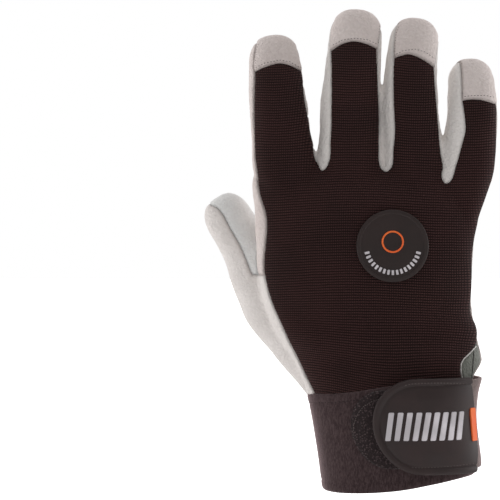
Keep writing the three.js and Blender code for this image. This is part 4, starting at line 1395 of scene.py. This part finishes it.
def spread(line, pitch):
    line = np.array(line, float)
    arc = np.concatenate([[0], np.cumsum(np.linalg.norm(np.diff(line, axis=0), axis=1))])
    at = np.arange(pitch / 2, arc[-1], pitch)
    return np.stack([np.interp(at, arc, line[:, k]) for k in range(line.shape[1])], 1)


def skinTree(names):
    verts, faces = [], []
    for name in names:
        mesh = made[name].data
        base = len(verts)
        verts += [v.co / mm for v in mesh.vertices]
        faces += [[base + k for k in p.vertices] for p in mesh.polygons]
    return BVHTree.FromPolygons(verts, faces)


def hitsFromCamera(tree, pixels):
    eye = Vector(bpy.context.scene.camera.location) / mm
    half = view["pixels"] / 2
    reach = view["lens"] / view["sensor"] * view["pixels"]
    found = []
    for across, down in pixels:
        ray = Vector((across - half, reach, half - down)).normalized()
        spot, normal, _, _ = tree.ray_cast(eye, ray)
        if spot and normal.y < -0.3:
            found.append((spot, normal))
    return found


def hitsOnPalm(tree, pixels):
    found = []
    for x, z in onPalm(*pixels):
        spot, normal, _, _ = tree.ray_cast(Vector((x, 200, z)), Vector((0, -1, 0)))
        if spot:
            found.append((spot, normal))
    return found


def threadRing(bm, spot, side, normal, radius):
    return [bm.verts.new((spot + (side * math.cos(t) + normal * math.sin(t)) * radius) * mm) for t in threadTurns]


def threadPiece(bm, spot, normal, along, scale):
    along = (along - normal * along.dot(normal)).normalized()
    side = along.cross(normal)
    rings = []
    for at, size in threadSteps:
        middle = spot + along * (at * stitch["long"] * scale) - normal * stitch["sink"]
        rings.append(threadRing(bm, middle, side, normal, size * stitch["thick"] / 2 * scale))
    bridged(bm, rings)


def sewLine(name, hits, look, scale):
    bm = bmesh.new()
    for k, (spot, normal) in enumerate(hits):
        before, after = hits[max(k - 1, 0)][0], hits[min(k + 1, len(hits) - 1)][0]
        if 0.1 < (after - before).length < 6:
            threadPiece(bm, spot, normal, (after - before).normalized(), scale)
    finished(bm, name + "_stitches", look, True)


edgeLines = [
    ("vent_edge", [(480.5, 336), (479, 341), (475.5, 347), (469.5, 353.5), (463.6, 359), (461, 364), (460.8, 370),
                   (462, 378)], 0.75, gussetLitLook),
    ("vent_seam", [(473.8, 351), (473.4, 358), (472.6, 368), (471.6, 378), (471.4, 384)], 0.5, blackThread),
]


def cordAlong(name, hits, thick, look):
    # one unbroken edge or seam line
    bm = bmesh.new()
    rings = []
    for k, (spot, normal) in enumerate(hits):
        along = (hits[min(k + 1, len(hits) - 1)][0] - hits[max(k - 1, 0)][0]).normalized()
        side = along.cross(normal).normalized()
        rings.append(threadRing(bm, spot, side, normal, thick / 2))
    bridged(bm, rings)
    finished(bm, name, look, True)


leatherTree = skinTree([n for n in made if n.startswith(("cap", "gusset", "thumb", "palm"))])
backTree = skinTree(["back_panel", "side_gusset"])

# lines, how they are found and on what, their spacing, thread and scale
sewn = [
    (backLines, hitsFromCamera, leatherTree, 2, paleThread, 1.0),
    (sideLines, hitsFromCamera, leatherTree, 1.7, paleThread, 0.85),
    (tabLines, hitsFromCamera, skinTree(["strap_tab"]), 2, tabThread, 1.15),
    (padLines, hitsFromCamera, skinTree(["loop_pad"]), 1.5, paleThread, 0.85),
    (palmLines, hitsOnPalm, leatherTree, 2.7, darkThread, 1.3),
]
for lines, find, tree, spacing, look, scale in sewn:
    for name, line in lines.items():
        sewLine(name, find(tree, spread(line, stitch["pitch"] * spacing)), look, scale)
for name, line, thick, look in edgeLines:
    cordAlong(name, hitsFromCamera(backTree, spread(line, 1.2)), thick, look)


def cuffRow():
    # the row that holds the cuff's turned edge
    tree = skinTree(["cuff"])
    edge = seams["cuffEdge"] + seams["cuffEdge"][:1]
    hits = []
    for turn in np.radians(np.arange(0, 360, stitch["cuffEvery"])):
        ray = Vector((-math.cos(turn), -math.sin(turn), 0))
        level = seams["cuffTop"] * np.interp(math.degrees(turn) / 30, range(13), edge)
        spot, normal, _, _ = tree.ray_cast(Vector((0, 0, level - stitch["cuffBelow"])) - ray * 120, ray)
        if spot:
            hits.append((spot, normal))
    return hits


sewLine("cuff_top", cuffRow(), blackThread, 1.0)
print("stitches laid")
